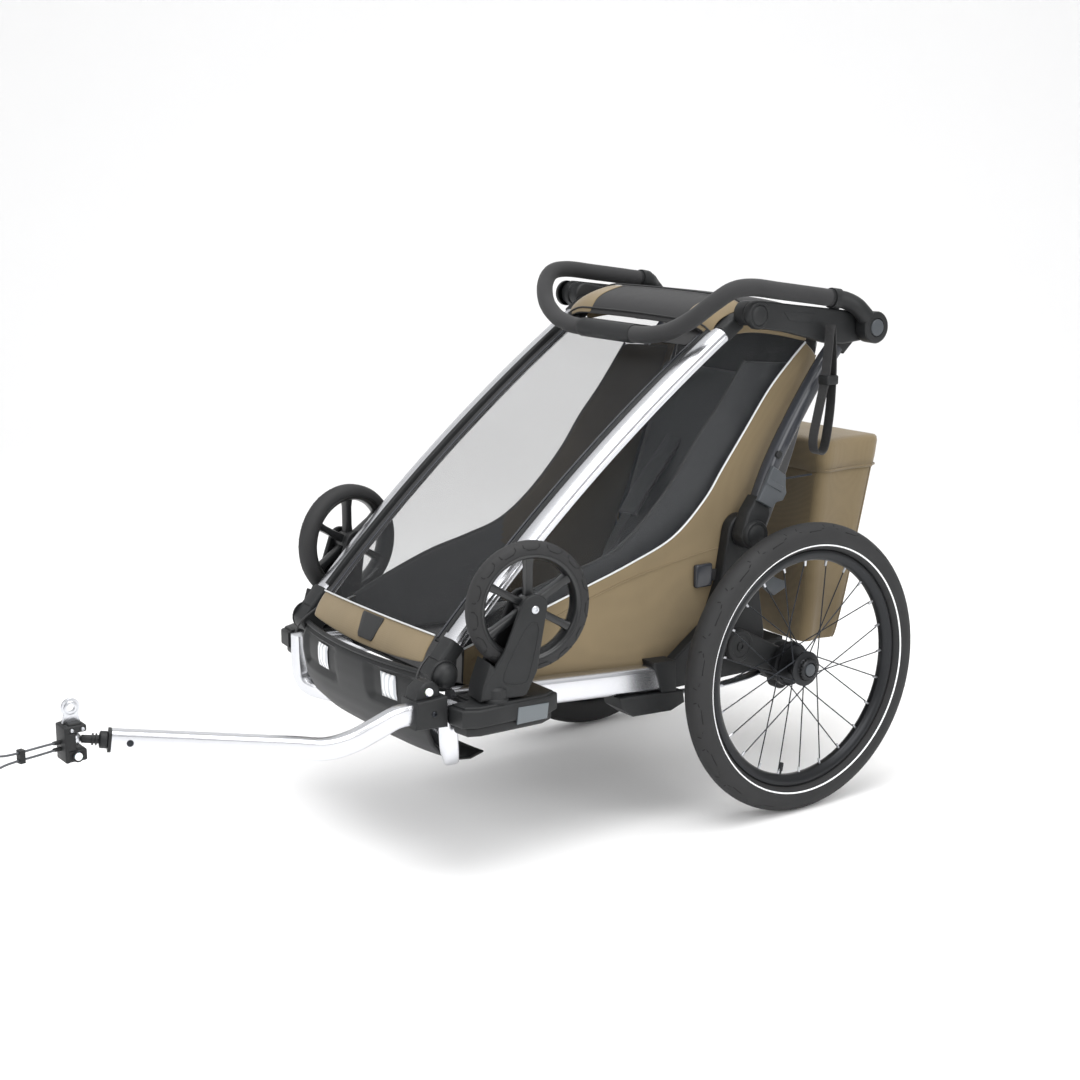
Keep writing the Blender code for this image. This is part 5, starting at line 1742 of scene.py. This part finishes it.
# The wings' inner faces are lined with the brown cloth from the seat back to the knees.
lining = woven("brown_lining_polyester", "#453B2B", "#3D3426", sheen=0.05)
wing.data.materials.append(lining)
for face in wing.data.polygons:
    if face.normal.x < -0.3 and face.center.y > -0.300:
        face.material_index = 1
wings = both(wing, "chassis")
edges = both(piped("seat_wing_edge_left", WING_FRONT, 0.1640, 0.0024, webbing), "chassis")
for number, name in enumerate(("left", "right")):
    creased(wings[number])
    creased(edges[number])
strap_routes = {
    "shoulder_strap_left": [
        (0.052, 0.034, 0.640), (0.055, -0.010, 0.585), (0.060, -0.075, 0.505), (0.050, -0.140, 0.430),
        (0.018, -0.185, 0.392)
    ],
    "lap_strap_left": [
        (0.150, -0.110, 0.345), (0.120, -0.150, 0.362), (0.060, -0.180, 0.378), (0.018, -0.190, 0.386)
    ],
}
for name, route in strap_routes.items():
    strap = swept(name, curved(route, 6), box_section(0.024, 0.0018, 0.0007, 1), webbing, up=(0, -0.7, 0.7))
    for piece in both(strap, "chassis"):
        creased(piece)
pad = swept(
    "shoulder_pad_left",
    curved([(0.054, 0.012, 0.612), (0.056, -0.022, 0.570), (0.060, -0.072, 0.508), (0.056, -0.104, 0.470)], 5),
    box_section(0.046, 0.0090, 0.0040, 3),
    seat_cloth,
    up=(0, -0.7, 0.7),
)
for piece in both(pad, "chassis"):
    creased(piece)
crotch = swept(
    "crotch_strap", curved([(0, -0.236, 0.324), (0, -0.222, 0.350), (0, -0.196, 0.386)], 5),
    box_section(0.026, 0.002, 0.0007, 1), webbing, "chassis", up=(0, -0.7, 0.7)
)
creased(crotch)
buckle = rounded_block(
    "harness_buckle", (-0.023, -0.205, 0.375), (0.023, -0.183, 0.403), gloss_nylon, "chassis", 0.006, 4
)
creased(buckle)
wire = swept(
    "liner_rod_left", [(0.1800, 0.030, 0.553), (0.1800, 0.075, 0.5535), (0.1800, 0.118, 0.554)],
    round_section(0.0020, 8), black_steel
)
both(wire, "chassis")

# ---------------------------------------------------------------- Front cover
# Fine mesh stretched between the front rails on two zips, with a sand-brown
# apron, reflective piping and a blank rubber badge at its foot.

mesh_cloth = woven("fine_window_mesh", "#3A3B3D", "#353638", 0.0016, 0.00002, 0.80, 0.0)
mesh_cloth.node_tree.nodes["Principled BSDF"].inputs["Alpha"].default_value = 0.17


def cover_grid(low_x, high_x, columns, low_reach, high_reach, rows, offset, sag=0.004):
    """Rows of points on the plane of the front rails."""
    grid = []
    for i in range(rows + 1):
        reach = low_reach + (high_reach - low_reach) * i / rows
        row = []
        for k in range(columns + 1):
            x = low_x + (high_x - low_x) * k / columns
            hollow = sag * (1 - (x / 0.186) ** 2) * math.sin(math.pi * max(0.0, min(1.0, i / rows)))
            row.append(tuple(rail_point(x, offset + hollow, reach)))
        grid.append(row)
    return grid


front = cloth_sheet(
    "front_mesh", cover_grid(-0.168, 0.168, 16, 0.010, 0.690, 28, 0.0080), mesh_cloth, "front_rails", 0.0006
)
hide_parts("front_cover")
band = cloth_sheet(
    "zip_band_left", cover_grid(0.1640, 0.1868, 4, 0.004, 0.690, 28, 0.0070, 0.0), dark_cloth,
    thickness=0.0018
)
bands = both(band, "front_rails")
zip_route = [rail_point(0.1700, 0.0062, 0.012 + 0.676 * i / 30) for i in range(31)]
both(
    swept("zip_teeth_left", zip_route, box_section(0.0046, 0.0022, 0.0008, 2), gloss_nylon), "front_rails",
)
header = cloth_sheet(
    "cover_header", cover_grid(-0.168, 0.168, 12, 0.655, 0.692, 3, 0.0066, 0.0), dark_cloth, "front_rails",
    0.0016
)

grid = []
for i in range(9):
    share = i / 8
    row = []
    for k in range(25):
        x = -0.1745 + 0.349 * k / 24
        side_share = (x / 0.1745) ** 2
        y = -0.6790 + 0.0240 * share - 0.004 * (1 - side_share) - 0.003 * math.sin(math.pi * share)
        z = 0.3330 + 0.0115 * side_share + (0.0505 - 0.0115 * side_share) * share
        row.append((x, y, z))
    grid.append(row)
apron = cloth_sheet("front_apron", grid, sand_cloth, "front_rails", 0.0018)
apron_top = swept(
    "apron_piping", [(x, y - 0.0010, z + 0.0006) for x, y, z in grid[-1]], round_section(0.0015, 8),
    piping_film, "front_rails"
)
# The apron's pattern is its width by its slant height, 55.9 mm in the middle and 45.8 mm at the ends.
# Soft PVC badge, left blank.
badge_pvc, tree, shader = new_material("soft_black_pvc", "#1D1E1F", 0.45)
grained(badge_pvc, 0.0010, 0.0001)
points, faces = [], []
for share, half in ((0.20, 0.020), (0.30, 0.024), (0.86, 0.032), (0.94, 0.031)):
    for k in range(7):
        x = -half + 2 * half * k / 6
        y = -0.6790 + 0.0240 * share - 0.004 - 0.003 * math.sin(math.pi * share) - 0.0010
        points.append((x, y, 0.3330 + 0.0505 * share))
for i in range(3):
    for k in range(6):
        a = i * 7 + k
        faces.append((a, a + 1, a + 8, a + 7))
badge = new_piece("apron_badge", points, faces, badge_pvc)
wall = badge.modifiers.new("wall", "SOLIDIFY")
wall.thickness, wall.offset = 0.0022, 0.0
edge = badge.modifiers.new("edge", "BEVEL")
edge.width, edge.segments = 0.0006, 2
finished(badge, "front_rails")
pull_route = [
    (0.1760, -0.6610, 0.3600), (0.1800, -0.6740, 0.3520), (0.1850, -0.6900, 0.3400),
    (0.1900, -0.7000, 0.3260), (0.1925, -0.7040, 0.3140)
]
pulls = swept("zip_pull_left", curved(pull_route, 5), round_section(0.0018, 8), webbing)
both(pulls, "front_rails")

# ---------------------------------------------------------------- Cargo bag
# A sewn sand-brown bag that hangs behind the seat, with corner seams, a bound
# rim and a stiffened lid that opens to the rear.

BAG_HALF, BAG_CORNER, BAG_BASE_DEPTH = 0.159, 0.016, 0.075
BAG_LEVELS = [
    (0.2400, 0.139, 0.214, 0.150),
    (0.2450, 0.136, 0.219, 0.155),
    (0.3000, 0.139, 0.234, 0.158),
    (0.3650, 0.142, 0.250, 0.159),
    (0.4270, 0.146, 0.264, 0.159),
    (0.4900, 0.152, 0.279, 0.159),
    (0.5500, 0.160, 0.293, 0.159),
    (0.5895, 0.166, 0.3015, 0.159),
]


def bag_ring(z, front, rear, half, corner=BAG_CORNER, out=0.0):
    """Points round the bag at one height, with slight sags in the long walls."""
    ring = []
    for cx, cy, start in ((half, rear, 0), (-half, rear, 90), (-half, front, 180), (half, front, 270)):
        for k in range(4):
            turn = math.radians(start + 30 * k)
            x = cx - math.copysign(corner, cx) + (corner + out) * math.cos(turn)
            y = cy + (corner if cy == front else -corner) + (corner + out) * math.sin(turn)
            ring.append((x, y))
    full = []
    for i, (a, b) in enumerate(zip(ring, ring[1:] + ring[:1])):
        parts = 8 if i % 4 == 3 else 1
        for k in range(parts):
            share = k / parts
            x, y = a[0] + (b[0] - a[0]) * share, a[1] + (b[1] - a[1]) * share
            sag = 0.0045 * math.sin(math.pi * share) * (1 + 0.5 * math.sin(z * 43 + i))
            away = Vector((b[1] - a[1], a[0] - b[0])).normalized()
            full.append((x - away.x * sag, y - away.y * sag, z + 0.001 * math.sin(x * 60)))
    return full


rings = []
for spot in curved([(front, rear, half) for z, front, rear, half in BAG_LEVELS], 3):
    rings.append(tuple(spot))
heights = [p.x for p in curved([(z, 0, 0) for z, front, rear, half in BAG_LEVELS], 3)]
points = []
for height, (front, rear, half) in zip(heights, rings):
    points += bag_ring(height, front, rear, half)
count = len(points) // len(rings)
faces = [tuple(range(count - 1, -1, -1))]
for i in range(len(rings) - 1):
    for k in range(count):
        a, b = i * count + k, i * count + (k + 1) % count
        faces.append((a, b, b + count, a + count))
bag = new_piece("cargo_bag_shell", points, faces, sand_cloth, angle=60)
wall = bag.modifiers.new("wall", "SOLIDIFY")
wall.thickness, wall.offset = 0.0028, -1.0
finished(bag, "chassis")
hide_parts("cargo_bag")
# The bag's pattern: a wall as long as its girth at mid height, and the base sewn in below it.
for number, corner in enumerate((1, 5)):
    seam_route = []
    for height, (front, rear, half) in zip(heights, rings):
        ring = bag_ring(height, front, rear, half, out=0.0008)
        spot = ring[1] if corner == 1 else ring[12]
        seam_route.append(spot)
    seam = swept(f"bag_seam_{number}", seam_route, round_section(0.0014, 8), sand_cloth, "chassis")
rim_line = bag_ring(0.5880, 0.166, 0.3015, BAG_HALF, out=0.0005)
rim_bind = swept("bag_rim_binding", rim_line, round_section(0.0022, 8), dark_cloth, "chassis", closed=True)

lid_points, lid_faces = [], []
# Heights of the lid's rows, and how far each stands out from the bag's wall.
LID_ROWS = [
    (0.6040, -0.040), (0.6048, -0.015), (0.6035, -0.002), (0.6005, 0.0012),
    (0.5950, 0.0022), (0.5700, 0.0022), (0.5480, 0.0016)
]
for height, out in LID_ROWS:
    front, rear, half = 0.166, 0.3015, 0.159
    slope = (height - 0.5895) * 0.22 if height < 0.5895 else 0.0
    ring = bag_ring(
        0.5895, front + slope * 0.4, rear + slope, half, corner=max(0.006, 0.016 + min(0.0, out)),
        out=max(out, 0.0) + 0.0015
    )
    middle = Vector((0, (front + rear) / 2))
    for x, y, z in ring:
        if out < -0.001:
            away = Vector((x, y)) - middle
            x, y = x - math.copysign(min(abs(out), abs(x) * 0.9), x), y - math.copysign(
                min(abs(out), abs(away.y) * 0.9), away.y
            )
        lid_points.append((x, y, height))
count = len(lid_points) // len(LID_ROWS)
lid_faces.append(tuple(range(count)))
for i in range(len(LID_ROWS) - 1):
    for k in range(count):
        a, b = i * count + k, i * count + (k + 1) % count
        lid_faces.append((a, b, b + count, a + count))
lid = new_piece("bag_lid_cover", lid_points, lid_faces, sand_cloth, angle=50)
wall = lid.modifiers.new("wall", "SOLIDIFY")
wall.thickness, wall.offset = 0.0018, 0.0
finished(lid, "bag_lid")
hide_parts("bag_lid")
hem_line = [lid_points[5 * count + k] for k in range(count)]
hem = swept(
    "bag_lid_hem", [(x * 1.004, y, z - 0.018) for x, y, z in hem_line], round_section(0.0012, 6), sand_cloth,
    "bag_lid", closed=True
)
light_lens, tree, shader = new_material("dark_red_light_lens", "#4A1214", 0.18)
grained(light_lens, 0.0030, 0.0002)
light = rounded_block("rear_light", (-0.022, 0.2960, 0.540), (0.022, 0.3065, 0.562), light_lens, "bag_lid", 0.004, 3)

# ---------------------------------------------------------------- Wrist strap and side straps
# A loop of flat webbing from the top arm with a moulded keeper, and the short
# buckled strap on each side panel.

loop = [
    (0.276, 0.060, 0.8260),
    (0.276, 0.055, 0.7800),
    (0.276, 0.050, 0.7350),
    (0.276, 0.038, 0.6850),
    (0.276, 0.028, 0.6420),
    (0.276, 0.030, 0.6190),
    (0.276, 0.041, 0.6115),
    (0.276, 0.052, 0.6190),
    (0.276, 0.058, 0.6420),
    (0.276, 0.064, 0.6850),
    (0.276, 0.066, 0.7350),
    (0.276, 0.065, 0.7800),
]
strap = swept(
    "wrist_strap_loop", curved(loop, 4, closed=True), box_section(0.0020, 0.0215, 0.0008, 1), webbing,
    "top_frame", up=(1, 0, 0), closed=True
)
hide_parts("wrist_strap")
keeper = rounded_block(
    "strap_keeper", (0.2635, 0.0455, 0.7270), (0.2885, 0.0705, 0.7430), black_nylon, "top_frame", 0.003, 3
)
buckles = both(
    rounded_block("side_buckle_left", (0.1905, -0.157, 0.391), (0.2010, -0.121, 0.431), gloss_nylon, bevel=0.004),
    "chassis"
)
tabs = both(
    swept(
        "side_strap_left", [(0.1955, -0.125, 0.4100), (0.1950, -0.110, 0.4085), (0.1920, -0.096, 0.4070)],
        box_section(0.0022, 0.020, 0.0008, 1), webbing, up=(0, 0, 1)
    ),
    "chassis"
)
for piece in (*buckles, *tabs):
    creased(piece)
